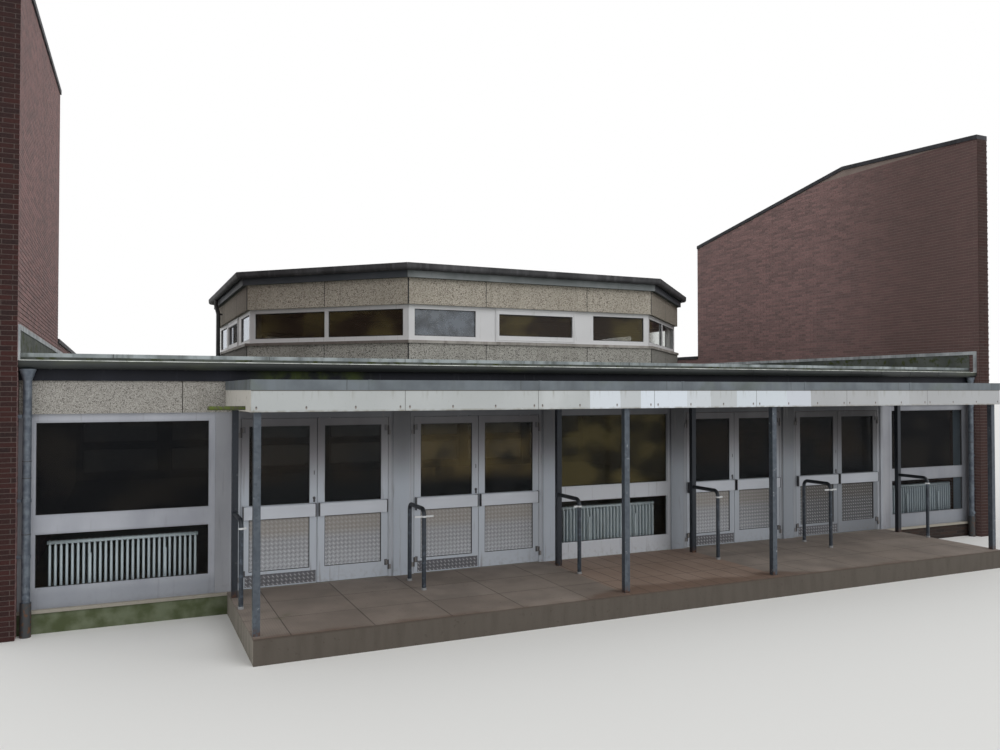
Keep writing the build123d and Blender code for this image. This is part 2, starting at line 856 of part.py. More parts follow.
def lantern_panes(face):
    """Middle and width of each pane of a face, and whether it is the opening light."""
    length = face[2]
    if face[0] % 90 != 0:
        width = (length - 2 * corner_width - mullion_width) / 2
        middle = (width + mullion_width) / 2
        return [(-middle, width, False), (middle, width, False)]
    width = (length - 2 * corner_width - 2 * infill_width - sash_width) / 2
    middle = (sash_width + width) / 2 + infill_width
    return [(-middle, width, False), (0, sash_width, True), (middle, width, False)]


pane_middle = floor + (lantern_pane_low + lantern_pane_high) / 2
pane_height = lantern_pane_high - lantern_pane_low
frame_front = lantern_frame_recess
frame_back = lantern_frame_recess + lantern_frame_depth
with BuildPart() as lantern_frames:
    for face, outline in ring_outlines(frame_front, frame_back, solid_joint):
        with BuildSketch(face_plane(face, frame_base)):
            Polygon(*outline, align=None)
        extrude(amount=frame_top - frame_base)
        for middle, width, opens in lantern_panes(face):
            border = sash_border if opens else 0
            if opens:
                with BuildSketch(upright_plane(face, frame_front)):
                    with Locations((middle, pane_middle)):
                        Rectangle(width, pane_height + 2 * border)
                extrude(amount=sash_proud)
            with BuildSketch(upright_plane(face, frame_front - sash_proud)):
                with Locations((middle, pane_middle)):
                    Rectangle(width - 2 * border, pane_height - border)
            extrude(amount=-lantern_frame_depth - sash_proud, mode=Mode.SUBTRACT)
keep(lantern_frames.part, "lantern_frames")

glass_depth = (frame_front + frame_back) / 2 - glass_thickness / 2
with BuildPart() as lantern_glass:
    for face in lantern_faces:
        for middle, width, opens in lantern_panes(face):
            border = sash_border if opens else 0
            with BuildSketch(upright_plane(face, glass_depth)):
                with Locations((middle, pane_middle)):
                    Rectangle(width - 2 * border, pane_height - border)
            extrude(amount=-glass_thickness)
keep(lantern_glass.part, "lantern_glass")

# Posts inside the lantern's corners, from the sill to the head beam
corner_to_frame = frame_back / cos(radians(22.5)) + lantern_post_gap
lantern_post_inset = corner_to_frame + lantern_post_size / 2 * (1 + mitre)
with BuildPart() as lantern_posts:
    for face in lantern_faces:
        level = face_plane(face, frame_base)
        turn = radians(face[0] + 22.5)
        outward = Vector(cos(turn), sin(turn), 0)
        foot = level.origin + level.x_dir * face[2] / 2 - outward * lantern_post_inset
        with BuildSketch(Plane(origin=foot, x_dir=outward)):
            Rectangle(lantern_post_size, lantern_post_size)
        extrude(amount=frame_top - frame_base)
keep(lantern_posts.part, "lantern_posts")

# Flat roof of the lantern and the sheet metal board round its edge
lantern_roof_level = floor + lantern_roof_top
with BuildPart() as lantern_roof:
    with BuildSketch(Plane.XY.offset(panel_top)):
        Polygon(*octagon(-lantern_roof_overhang), align=None)
    extrude(amount=lantern_roof_level - panel_top)
keep(lantern_roof.part, "lantern_roof")

board_out = lantern_roof_overhang + eaves_board_thickness
with BuildPart() as lantern_eaves_board:
    for face, outline in ring_outlines(-board_out, -lantern_roof_overhang, solid_joint):
        with BuildSketch(face_plane(face, panel_top)):
            Polygon(*outline, align=None)
        extrude(amount=lantern_roof_level - panel_top)
keep(lantern_eaves_board.part, "lantern_eaves_board")

# Half-round gutter round the lantern, mitred at the corners
lantern_section = channel(lantern_gutter_radius, lantern_gutter_side, gutter_wall)
lantern_gutter_line = board_out + lantern_gutter_radius
with BuildPart() as lantern_gutter:
    for face in lantern_faces:
        reach = face[2] / 2 + (lantern_gutter_line + lantern_gutter_radius) * mitre
        line = face_plane(face, lantern_roof_level)
        start = Plane(
            origin=line.origin - line.y_dir * lantern_gutter_line - line.x_dir * reach,
            x_dir=line.y_dir,
            z_dir=line.x_dir,
        )
        with BuildPart(mode=Mode.PRIVATE) as length:
            extrude(start * lantern_section, amount=2 * reach)
            for hand in (-1, 1):
                corner = line.origin + line.x_dir * hand * (face[2] / 2 - solid_joint / 2)
                across = line.x_dir * hand * cos(radians(22.5)) + line.y_dir * sin(radians(22.5))
                split(bisect_by=Plane(origin=corner, z_dir=across), keep=Keep.BOTTOM)
        add(length.part)
keep(lantern_gutter.part, "lantern_gutter")

# Downpipe from the lantern's gutter to the roof near the rear end of its left face. It bends in
# under the board and stands on two brackets.
pipe_reach = lantern_half + lantern_pipe_stand_off
pipe_top_reach = lantern_half + lantern_gutter_line
pipe_y = straight_length / 2 - lantern_pipe_inset
pipe_level = lantern_roof_level - lantern_gutter_side - lantern_gutter_radius
first_bend = panel_top - lantern_pipe_bend_drop
with BuildPart() as lantern_downpipe:
    with BuildLine(Plane.XZ.offset(-pipe_y)) as path:
        FilletPolyline(
            (-pipe_reach, roof_top),
            (-pipe_reach, first_bend - lantern_pipe_bend_height),
            (-pipe_top_reach, first_bend),
            (-pipe_top_reach, pipe_level),
            radius=lantern_pipe_bend,
        )
    with BuildSketch(Plane((-pipe_reach, pipe_y, roof_top))):
        Circle(lantern_pipe_radius)
    sweep(path=path.line)
    for height in lantern_bracket_heights:
        block(
            (-pipe_reach, -lantern_half),
            (pipe_y - bracket_thickness / 2, pipe_y + bracket_thickness / 2),
            (floor + height, floor + height + collar_height),
        )
keep(lantern_downpipe.part, "lantern_downpipe")
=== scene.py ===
import math
from functools import partialmethod

import bmesh
import bpy
import numpy as np
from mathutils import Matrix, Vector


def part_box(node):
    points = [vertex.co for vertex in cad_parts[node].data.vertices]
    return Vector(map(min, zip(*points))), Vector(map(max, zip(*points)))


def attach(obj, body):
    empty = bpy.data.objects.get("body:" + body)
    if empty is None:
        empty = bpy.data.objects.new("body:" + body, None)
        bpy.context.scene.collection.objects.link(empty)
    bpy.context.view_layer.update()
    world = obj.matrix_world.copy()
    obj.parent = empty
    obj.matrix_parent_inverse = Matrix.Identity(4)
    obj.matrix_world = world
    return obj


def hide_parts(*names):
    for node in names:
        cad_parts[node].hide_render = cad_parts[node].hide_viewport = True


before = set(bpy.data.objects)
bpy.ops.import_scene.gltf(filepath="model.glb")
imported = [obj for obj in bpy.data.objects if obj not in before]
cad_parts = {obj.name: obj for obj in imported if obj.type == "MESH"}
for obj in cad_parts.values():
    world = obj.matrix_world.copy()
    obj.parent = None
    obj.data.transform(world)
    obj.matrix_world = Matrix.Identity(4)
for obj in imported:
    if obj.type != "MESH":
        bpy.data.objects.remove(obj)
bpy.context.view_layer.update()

# Camera: it stands in front of the left end of the hall, a little above the door heads, and looks
# to the right along the front.
camera_data = bpy.data.cameras.new("camera")
camera_data.lens = 30.17
camera_data.sensor_width = 36
camera = bpy.data.objects.new("camera", camera_data)
camera.location = (-7.69, -20.35, 3.08)
camera.rotation_euler = (math.radians(91.03), 0, math.radians(-24.5))
bpy.context.scene.collection.objects.link(camera)
bpy.context.scene.camera = camera


# Landing, sills and hall floor: cast concrete. The landing is cut into slabs about a metre wide,
# narrower in front of the middle window, with dirt in the joints and along its front edge. The
# hall floor is laid with tiles.
class Value:
    """A node's output. Arithmetic and comparisons on it add Math nodes."""

    def __init__(self, owner, socket):
        self.owner = owner
        self.socket = socket

    def maths(self, operation, *others):
        """One Math node, with this value first."""
        return self.owner.node("Math", dict(enumerate((self, *others))), operation=operation)

    __add__ = __radd__ = partialmethod(maths, "ADD")
    __sub__ = partialmethod(maths, "SUBTRACT")
    __mul__ = __rmul__ = partialmethod(maths, "MULTIPLY")
    __truediv__ = partialmethod(maths, "DIVIDE")
    __mod__ = partialmethod(maths, "FLOORED_MODULO")
    __gt__ = partialmethod(maths, "GREATER_THAN")
    __lt__ = partialmethod(maths, "LESS_THAN")
    __abs__ = partialmethod(maths, "ABSOLUTE")
    power = partialmethod(maths, "POWER")
    most = partialmethod(maths, "MAXIMUM")
    least = partialmethod(maths, "MINIMUM")

    def __rsub__(self, other):
        return self.owner.node("Math", {0: other, 1: self}, operation="SUBTRACT")

    def __floordiv__(self, other):
        return (self / other).maths("FLOOR")

    def rise(self, low, high):
        """0 below low, 1 above high and smooth between them; high may be the smaller one."""
        sockets = {"Value": self, "From Min": low, "From Max": high}
        return self.owner.node("MapRange", sockets, interpolation_type="SMOOTHSTEP")

    def lines(self, pitch, outer, inner):
        """Lines a pitch apart: 0 farther than outer from the nearest line, and 1 nearer than inner."""
        return abs(self % pitch - pitch / 2).rise(pitch / 2 - outer, pitch / 2 - inner)


def light(colour):
    """A colour as seen, each part from 0 to 255, as the light that it sends back."""
    seen = np.array(colour) / 255
    return np.where(seen > 0.04045, ((seen + 0.055) / 1.055) ** 2.4, seen / 12.92).tolist()


class Nodes:
    """The nodes of a material or a world. Colours are given as seen, each part from 0 to 255."""

    def __init__(self, owner):
        owner.use_nodes = True
        self.tree = owner.node_tree
        self.tree.nodes.clear()

    def node(self, kind, sockets=None, output=0, **settings):
        """Add a node of a kind: its settings first, then the values or links of its sockets."""
        made = self.tree.nodes.new("ShaderNode" + kind)
        for key, setting in settings.items():
            setattr(made, key, setting)
        for key, value in (sockets or {}).items():
            socket = made.inputs[key]
            if isinstance(value, Value):
                self.tree.links.new(value.socket, socket)
            elif socket.type == "RGBA":
                socket.default_value = (*light(value), 1)
            else:
                socket.default_value = value
        return Value(self, made.outputs[output]) if made.outputs else None


class Finish(Nodes):
    """A material whose colour is laid on in coats. It reads its piece's own coordinates, in metres."""

    def __init__(self, name, colour=None):
        self.material = bpy.data.materials.new(name)
        super().__init__(self.material)
        self.colour = colour
        self.place = self.node("TexCoord", output="Object")
        axes = self.node("SeparateXYZ", {0: self.place}).socket.node.outputs
        self.x, self.y, self.z = (Value(self, socket) for socket in axes)

    def mix(self, share, first, second):
        """Colour that goes from first to second as share goes from 0 to 1."""
        return self.node("Mix", {0: share, 6: first, 7: second}, 2, data_type="RGBA", clamp_factor=True)

    def coat(self, share, colour):
        """Lay a colour over what is there; it covers it where share is 1."""
        self.colour = self.mix(share, self.colour, colour)

    def cloud(self, size, detail=3, tall=1, wide=1):
        """Soft noise from 0 to 1, with patches about size across, drawn out upwards or along x."""
        spread = 1 / wide, 1, 1 / tall
        where = self.node("VectorMath", {0: self.place, 1: spread}, operation="MULTIPLY")
        return self.node("TexNoise", {"Vector": where, "Scale": 1 / size, "Detail": detail})

    def grains(self, size, output="Distance"):
        """Cells about size across: the distance to a cell's middle, or its own colour."""
        return self.node("TexVoronoi", {"Vector": self.place, "Scale": 1 / size}, output)

    def pick(self, size):
        """A random number from 0 to 1 for each cell about size across."""
        return self.node("SeparateXYZ", {0: self.grains(size, "Color")})

    def chance(self, *numbers):
        """A random number from 0 to 1 that belongs to these whole numbers."""
        return self.node("TexWhiteNoise", {"Vector": self.node("CombineXYZ", dict(enumerate(numbers)))})

    def surface(self, roughness, metallic=0.0, height=None, depth=0.002, shine=0.5):
        """Close the finish: the shader, and a bump as deep as height times depth, in metres."""
        sockets = {"Base Color": self.colour, "Roughness": roughness, "Metallic": metallic}
        sockets["Specular IOR Level"] = shine
        if height is not None:
            sockets["Normal"] = self.node("Bump", {"Distance": depth, "Height": height})
        return self.close(self.node("BsdfPrincipled", sockets))

    def close(self, shader):
        self.node("OutputMaterial", {"Surface": shader})
        return self.material


def dress(material, *nodes):
    """Give CAD nodes a finish."""
    for name in nodes:
        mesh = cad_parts[name].data
        mesh.materials.clear()
        mesh.materials.append(material)


landing_low, landing_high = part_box("entrance_landing")
slab_width, slab_rows = 0.98, 0.81
slabs_left = 50 * slab_width
narrow_half, narrow_width = 1.35, 0.3
rib_pitch, ribs_end = 0.03, -4.2

paving = Finish("landing_concrete", (141, 130, 121))
narrow = abs(paving.x) < narrow_half
width = narrow * (narrow_width - slab_width) + slab_width
from_left = paving.x + slabs_left
from_doors = landing_high.y - paving.y
along = abs(from_left % width - width / 2) - width / 2
across = abs(from_doors % slab_rows - slab_rows / 2) - slab_rows / 2
joint = abs(along).least(abs(across)).rise(0.008, 0.003)
worn = paving.cloud(0.7, 5)
paving.coat(worn.rise(0.3, 0.7), (117, 108, 101))
paving.coat(paving.chance(from_left // width, from_doors // slab_rows) * 0.35, (112, 100, 90))
paving.coat(narrow * 0.4, (150, 118, 98))
dirt_line = landing_low.y + 0.12 + abs(paving.x).rise(2.4, 1.2) * 0.3 + (paving.cloud(0.5) - 0.5) * 0.5
dirt = (dirt_line - paving.y).rise(0, 0.2) * paving.z.rise(landing_high.z - 0.04, landing_high.z)
paving.coat(dirt * 0.7, (92, 70, 56))
edge = paving.z.rise(landing_high.z - 0.01, landing_high.z - 0.03)
drips = paving.cloud(0.12, 5, 6).rise(0.4, 0.7)
paving.coat(edge, paving.mix(drips * 0.6, (134, 128, 118), (98, 92, 82)))
ribs = abs(paving.x % rib_pitch - rib_pitch / 2).most(abs(paving.y % rib_pitch - rib_pitch / 2))
ribbed = ribs.rise(0.011, 0.014) * (paving.x < ribs_end) * (1 - edge)
paving.coat(ribbed * 0.3, (84, 74, 66))
paving.coat(paving.cloud(0.05, 2).rise(0.66, 0.72) * 0.5, (70, 60, 52))
moss = paving.cloud(0.35, 6).rise(0.6, 0.75) * (paving.x - landing_low.x).rise(0.9, 0.1)
paving.coat(moss, (84, 88, 44))
paving.coat(joint * 0.8, (62, 54, 47))
dress(
    paving.surface(worn * 0.2 + 0.68, height=paving.cloud(0.02, 4) * 0.3 - joint, depth=0.006),
    "entrance_landing",
)

casting = Finish("cast_concrete", (132, 128, 118))
casting.coat(casting.cloud(0.6, 5, 0.4), (166, 160, 149))
casting.coat(casting.cloud(0.015, 2).rise(0.6, 0.75) * 0.5, (96, 92, 84))
dress(casting.surface(0.85, height=casting.cloud(0.01, 3)), "sills", "roof_beams", "lantern_ring_beams")

tiles = Finish("hall_floor_tiles", (104, 82, 58))
tile_side = 0.3
tile_gap = abs(tiles.x % tile_side - tile_side / 2).most(abs(tiles.y % tile_side - tile_side / 2))
grout = tile_gap.rise(tile_side / 2 - 0.004, tile_side / 2 - 0.002)
tiles.coat(tiles.chance(tiles.x // tile_side, tiles.y // tile_side), (124, 100, 72))
tiles.coat(grout, (70, 60, 50))
dress(tiles.surface(0.42, height=1 - grout, depth=0.001), "floor_slab")

# Party walls: solid brick, 62.5 mm courses in stretcher bond with joints raked back 6 mm. The
# faces over the roof are pale and pinkish, and the ends and outsides dark red.
brick_length, course = 0.25, 0.0625
mortar_joint = 0.0105
rake = 0.006


def solid(name, shapes, material, closed=True):
    """Put shapes into the scene as one object, each shape given as its points and its faces."""
    points, faces = [], []
    for shape_points, shape_faces in shapes:
        faces += [[int(corner) + len(points) for corner in face] for face in shape_faces]
        points += np.asarray(shape_points, float).tolist()
    mesh = bpy.data.meshes.new(name)
    mesh.from_pydata(points, [], faces)
    if closed:
        shape = bmesh.new()
        shape.from_mesh(mesh)
        bmesh.ops.recalc_face_normals(shape, faces=shape.faces)
        shape.to_mesh(mesh)
        shape.free()
    mesh.materials.append(material)
    made = bpy.data.objects.new(name, mesh)
    bpy.context.scene.collection.objects.link(made)
    return made


def add_piece(name, shapes, material, body="root", closed=True):
    """Make one piece of the object, which rides on a body."""
    made = solid(name, shapes, material, closed)
    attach(made, body)
    return made


def copies(points, sides):
    """Like shapes as one: points by shape and corner, and the sides that each shape has."""
    first = points.shape[1] * np.arange(len(points))[:, None, None]
    return points.reshape(-1, 3), (np.array(sides) + first).reshape(-1, 4)


def brick_shells(face, out, start, end, top):
    """Brick faces on one upright wall face, as shells open at the back.

    Brick (i, j) starts at i brick lengths, shifted by half of one in each second course j, and ends
    one joint before the next. It is cut at start, at end and at the wall's top, which runs straight
    between the heights that top gives after their distances."""
    out = np.array([*out, 0.0])
    along = np.array([-out[1], out[0], 0.0])
    fixed = np.array([*face, 0.0]) * np.abs(out)
    courses = np.arange(int(np.interp((start, end), *top).max() / course) + 1)
    numbers = np.arange(int(start // brick_length) - 1, int(end // brick_length) + 2)
    j, i = (grid.ravel() for grid in np.meshgrid(courses, numbers, indexing="ij"))
    left = (i + 0.5 * (j % 2)) * brick_length
    right = np.minimum(left + brick_length - mortar_joint, end)
    left = np.maximum(left, start)
    low = j * course + mortar_joint / 2
    high_left, high_right = (
        np.minimum(low + course - mortar_joint, np.interp(side, *top)) for side in (left, right)
    )
    kept = (right - left > 0.02) & (np.minimum(high_left, high_right) - low > 0.008)
    corners = [(left, low), (right, low), (right, high_right), (left, high_left)]
    rings = []
    for depth in (0, rake):
        for distance, height in corners:
            points = fixed - out * depth + distance[kept, None] * along
            points[:, 2] = height[kept]
            rings.append(points)
    sides = [[0, 1, 2, 3], [4, 5, 1, 0], [1, 5, 6, 2], [3, 2, 6, 7], [4, 0, 3, 7]]
    return copies(np.stack(rings, axis=1), sides)


def brick_finish(name, dark, red, pale, dirt):
    """Fired brick with its own tint for each brick, rubbed and stained over the whole face, and
    sooty at the front of the right wall."""
    made = Finish(name, dark)
    row = made.z // course
    number = (made.x + made.y) / brick_length - (row % 2) * 0.5
    tint = made.chance(number // 1, row)
    made.coat(tint, red)
    made.coat(made.cloud(0.02, 3).rise(0.45, 0.75) * 0.5, pale)
    made.coat(made.cloud(1.6, 5, 2.5).rise(0.45, 0.75) * 0.45, dirt)
    sooty = (made.x > 0) * made.y.rise(-3.5, -7.5) * 0.5
    made.coat(sooty, dark)
    made.coat(sooty, (70, 52, 48))
    return made.surface(tint * 0.15 + 0.75, height=made.cloud(0.006, 3), depth=0.0015, shine=0.2)


pale_brick = brick_finish(
    "pale_brick", (118, 96, 95), (153, 121, 119), (176, 153, 150), (110, 97, 96)
)
dark_brick = brick_finish(
    "dark_brick", (40, 26, 26), (62, 36, 34), (76, 54, 51), (32, 26, 26)
)
mortar = Finish("lime_mortar", (128, 114, 108))
mortar.coat(mortar.cloud(0.3, 4), (156, 142, 135))
mortar.coat((mortar.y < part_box("party_wall_left")[0].y + 0.02) * 0.75, (78, 68, 66))
lime_mortar = mortar.surface(0.9, height=mortar.cloud(0.004, 2), shine=0.2)

for side_name, hand in (("left", -1), ("right", 1)):
    node = f"party_wall_{side_name}"
    low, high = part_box(node)
    corners = {(round(v.co.y, 4), round(v.co.z, 4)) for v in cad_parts[node].data.vertices}
    low_top = min(z for y, z in corners if y > high.y - 0.01 and z > 1)
    slope = sorted(corner for corner in corners if corner[1] > low_top + 0.1)
    step, step_top = slope[-1]
    outer_x, inner_x = (low.x, high.x)[::-hand]
    faces_out, faces_in = [], []
    for face_x, outward, group in ((outer_x, hand, faces_out), (inner_x, -hand, faces_in)):
        turned = sorted((outward * y, z) for y, z in slope)
        for ends, top in (((low.y + rake, step), turned), ((step, high.y - rake), [(0, low_top)])):
            start, end = sorted(outward * y for y in ends)
            group.append(brick_shells((face_x, 0), (outward, 0), start, end, tuple(zip(*top))))
    for face_y, outward, height in ((low.y, -1, slope[0][1]), (high.y, 1, low_top), (step, 1, step_top)):
        start, end = sorted(-outward * x for x in (low.x, high.x))
        faces_out.append(brick_shells((0, face_y), (0, outward), start, end, ((0,), (height,))))
    add_piece(f"{node}_bricks", faces_out, dark_brick, closed=False)
    add_piece(f"{node}_roof_side_bricks", faces_in, pale_brick, closed=False)
    outline = np.array([
        (low.y + rake, 0), (low.y + rake, slope[0][1]), *slope[1:-1], (step - rake, step_top),
        (step - rake, low_top), (high.y - rake, low_top), (high.y - rake, 0),
    ])
    count = len(outline)
    points = [np.column_stack([np.full(count, x), outline]) for x in (low.x + rake, high.x - rake)]
    faces = [list(range(count)), list(range(2 * count - 1, count - 1, -1))]
    faces += [[i, i + count, (i + 1) % count + count, (i + 1) % count] for i in range(count)]
    core = add_piece(f"{node}_mortar", [(np.concatenate(points), faces)], lime_mortar)
    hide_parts(node)

# Plinths under the sills: dark brick at the right and the rear, rendered under the left window and
# green there with algae.
plinth = Finish("plinth_brick_and_render", (44, 38, 36))
plinth_row = plinth.z // course
plinth_place = plinth.x / brick_length - (plinth_row % 2) * 0.5
bed_joint = (plinth.z % course) < mortar_joint
plinth_joint = bed_joint.most((plinth_place % 1) < mortar_joint / brick_length)
plinth.coat(plinth.chance(plinth_place // 1, plinth_row), (60, 48, 43))
plinth.coat(plinth_joint, (58, 54, 51))
render_side = (plinth.x < landing_low.x) * (plinth.y < 0)
algae = plinth.cloud(0.25, 5).rise(0.35, 0.65)
plinth.coat(render_side, plinth.mix(algae, (106, 113, 92), (76, 84, 58)))
plinth_height = plinth.cloud(0.01, 3) * 0.3 - plinth_joint * (1 - render_side)
dress(plinth.surface(0.85, height=plinth_height, depth=0.004, shine=0.2), "plinths")

# Roof: bitumen felt in sheets a metre wide, lapped and weathered, with moss near the edges. It
# turns up against the party walls.
felt = Finish("roofing_felt", (66, 71, 68))
sheet_width = 1.0
lap = felt.x.lines(sheet_width, 0.02, 0.005)
felt.coat(felt.cloud(0.8, 6).rise(0.3, 0.7), (96, 101, 96))
felt.coat(lap * 0.6, (50, 54, 52))
felt_edge = abs(felt.y).rise(7.3, 8.2).most(abs(felt.x).rise(8.2, 8.8))
felt_moss = felt.cloud(0.12, 6).rise(0.5, 0.68) * felt_edge
felt.coat(felt_moss, (62, 70, 34))
felt_height = felt.cloud(0.006, 3) * 0.2 + felt_moss + lap
dress(felt.surface(0.9, height=felt_height, depth=0.006), "roof_slab", "roof_upstands", "lantern_roof")


def sheet_metal(name, bright, dull, mark, roughness=0.45, metallic=0.4, seam=2.0, green=0.0, rain=0.55,
                shine=0.5):
    """Sheet metal in lengths with a soldered seam between them, streaked by the rain."""
    made = Finish(name, bright)
    patches = made.cloud(0.35, 5)
    made.coat(patches.rise(0.35, 0.65), dull)
    made.coat(made.cloud(0.09, 4, 12).rise(0.45, 0.75) * rain, mark)
    seams = (made.x + made.y).lines(seam, 0.008, 0.003)
    made.coat(seams * 0.7, mark)
    if green:
        made.coat(made.cloud(0.5, 6).rise(0.52, 0.72) * green, (74, 84, 38))
    return made.surface(patches * 0.25 + roughness, metallic, patches * 0.4 - seams, 0.003, shine)


dress(sheet_metal("coping_metal", (40, 40, 47), (28, 28, 34), (58, 58, 62), 0.55, 0.1),
      "wall_copings")
dress(sheet_metal("flashing_zinc", (196, 201, 204), (160, 166, 170), (112, 116, 116)),
      "wall_flashings")
dress(sheet_metal("edge_trim_metal", (172, 181, 183), (132, 140, 142), (70, 74, 70), green=0.35),
      "roof_edge_trims")


# Roof edge: exposed-aggregate panels, a blue-black board over them and a half-round zinc gutter
# on straps, with a rolled bead along its lip.
def aggregate(name, stones, paste, shadow, streak, stone=0.014, dim=None):
    """Concrete with its top skin washed off, so that the stones in it stand out; dim darkens it."""
    made = Finish(name, stones)
    bed = made.grains(stone).rise(0.25, 0.6)
    pick = made.pick(stone)
    made.coat(pick, paste)
    made.coat((pick > 0.86) * 0.8, shadow)
    made.coat(bed * 0.5, shadow)
    made.coat(made.cloud(0.12, 5, 9).rise(0.5, 0.8) * 0.4, streak)
    made.coat(made.cloud(1.1, 4).rise(0.45, 0.7) * 0.3, streak)
    if dim:
        made.coat(dim(made), shadow)
    return made.surface(0.88, height=1 - bed, depth=0.003)


dress(aggregate("fascia_aggregate", (202, 199, 193), (158, 155, 148), (92, 89, 84),
                (132, 129, 121), 0.01), "fascia_panels")
eaves = Finish("eaves_board_coat", (32, 34, 42))
eaves.coat(eaves.cloud(0.5, 5, 3).rise(0.3, 0.7), (23, 25, 32))
green_start, green_end = -6.1, -4.1
green_part = (eaves.x - green_start).rise(0, 0.5) * (eaves.x - green_end).rise(0, -0.5)
eaves.coat(green_part * eaves.cloud(0.3, 6).rise(0.35, 0.6) * 0.8, (66, 78, 32))
eaves.coat(eaves.cloud(0.05, 4, 8).rise(0.6, 0.8) * 0.3, (76, 80, 84))
dress(eaves.surface(0.6, height=eaves.cloud(0.3), shine=0.2), "eaves_boards")

gutter_low, gutter_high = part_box("gutters")
gutter_radius, gutter_side = 0.07, 0.035
gutter_centre = gutter_low.y + gutter_radius
lip = gutter_high.z
gutter = Finish("gutter_zinc", (34, 37, 38))
gutter.coat(gutter.cloud(0.5, 5, wide=3).rise(0.35, 0.65), (54, 58, 58))
gutter.coat(gutter.cloud(0.3, 6, wide=4).rise(0.56, 0.72) * 0.4, (66, 72, 44))
gutter_zinc = gutter.surface(0.5, 0.15, height=gutter.cloud(0.4, 4))
dress(gutter_zinc, "gutters")


def rings_to_mesh(rings):
    """Skin over closed rings of points, numbered (body, ring, point around), with flat ends."""
    bodies, levels, around = rings.shape[:3]
    number = np.arange(bodies * levels * around).reshape(bodies, levels, around)
    ahead = np.roll(number, -1, axis=2)
    quads = np.stack([number[:, :-1], ahead[:, :-1], ahead[:, 1:], number[:, 1:]], axis=-1)
    faces = quads.reshape(-1, 4).tolist()
    faces += number[:, 0, ::-1].tolist() + number[:, -1].tolist()
    return rings.reshape(-1, 3), faces


strap_places = np.linspace(gutter_low.x + 0.35, gutter_high.x - 0.35, 22)
strap_width, strap_thickness = 0.03, 0.004


def straps(hand):
    """Straps round the outside of a gutter: the gutter's own section, straight down from the lip,
    half round and up again, and the same carried out by the strap's thickness."""
    turn = np.linspace(0, np.pi, 9)
    rings = np.empty((len(strap_places), len(turn) + 2, 4, 3))
    for corner, (out, end) in enumerate(((0, -1), (0, 1), (1, 1), (1, -1))):
        reach = gutter_radius + out * strap_thickness
        rings[:, :, corner, 0] = strap_places[:, None] + end * strap_width / 2
        rings[:, :, corner, 1] = hand * (gutter_centre + np.array([1, *np.cos(turn), -1]) * reach)
        rings[:, :, corner, 2] = lip + np.array([0, *(-gutter_side - np.sin(turn) * reach), 0])
    return rings_to_mesh(rings)


add_piece("gutter_straps", map(straps, (1, -1)), gutter_zinc)


def round_bar(start, end, radius, around=10):
    """A straight round bar: circles of that radius square to the line from start to end."""
    start, end = np.array(start, float), np.array(end, float)
    line = (end - start) / np.linalg.norm(end - start)
    side = np.cross(line, [0, 0, 1] if abs(line[2]) < 0.9 else [1, 0, 0])
    side /= np.linalg.norm(side)
    up = np.cross(side, line)
    turn = np.linspace(0, 2 * np.pi, around, endpoint=False)[:, None]
    circle = radius * (np.cos(turn) * side + np.sin(turn) * up)
    return rings_to_mesh(np.stack([start + circle, end + circle])[None])


gutter_bead = 0.011
bead_y = gutter_low.y + gutter_bead
bead_ends = gutter_low.x + 0.005, gutter_high.x - 0.005
bead_zinc = sheet_metal("bead_zinc", (206, 210, 206), (172, 176, 172), (104, 108, 90))
add_piece("gutter_beads", (
    round_bar(*((x, hand * bead_y, lip) for x in bead_ends), gutter_bead) for hand in (1, -1)
), bead_zinc)

# Downpipes: zinc gone blue-grey and blotched, with iron standpipes below that are nearly black.
# Dark bands hold the pipes to the wall, and each front standpipe has a round cover.
pipes = Finish("downpipe_zinc", (78, 86, 97))
pipes.coat(pipes.cloud(0.08, 5).rise(0.35, 0.65), (106, 114, 123))
pipes.coat(pipes.cloud(0.03, 4, 6).rise(0.6, 0.8), (62, 67, 73))
iron = pipes.mix(pipes.cloud(0.05, 5).rise(0.5, 0.7), (64, 66, 68), (96, 66, 48))
pipes.coat(pipes.z.rise(0.435, 0.425), iron)
downpipe_zinc = pipes.surface(0.5, 0.3, height=pipes.cloud(0.02, 3), depth=0.001)
dress(downpipe_zinc, "downpipes")
fitting = Finish("fitting_dark_metal", (58, 58, 62))
fitting.coat(fitting.cloud(0.05), (92, 92, 96))
fitting_metal = fitting.surface(0.4, 0.4)


def dome(centre, radius, height, around=12):
    """A low round head on the front: circles that draw in as a quarter of an ellipse."""
    turn = np.linspace(0, 2 * np.pi, around, endpoint=False)
    rise = np.array([0, 0.6, 0.9, 1.0])[:, None]
    size = np.sqrt(1 - (rise * 0.98) ** 2)
    ring = np.empty((1, len(rise), around, 3))
    ring[0, ..., 0] = centre[0] + radius * size * np.cos(turn)
    ring[0, ..., 1] = centre[1] - height * rise
    ring[0, ..., 2] = centre[2] + radius * size * np.sin(turn)
    return rings_to_mesh(ring)


hopper_half = 0.105
pipe_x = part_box("downpipes")[1].x - hopper_half
band_radius, band_half = 0.054, 0.006
band_heights = 1.28, 1.98, 2.19
add_piece("downpipe_bands", (
    round_bar((x, y, height - band_half), (x, y, height + band_half), band_radius, 20)
    for x in (-pipe_x, pipe_x) for y in (gutter_centre, -gutter_centre) for height in band_heights
), fitting_metal)
cover_radius, cover_height, cover_depth = 0.042, 0.5, 0.014
cover_y = gutter_centre - 0.052
add_piece("downpipe_covers", (
    dome((x, cover_y, cover_height), cover_radius, cover_depth, 20) for x in (-pipe_x, pipe_x)
), downpipe_zinc)

# Aluminium front: anodised frames, piers and door sets, gone dull and a little lilac. Panes sit in
# aluminium beads with black rubber gaskets.
canopy_cover = 6.2
# Near-black tone of the painted shade on the aluminium, the hinges and the tread plate.
painted_shade = (24, 22, 22)


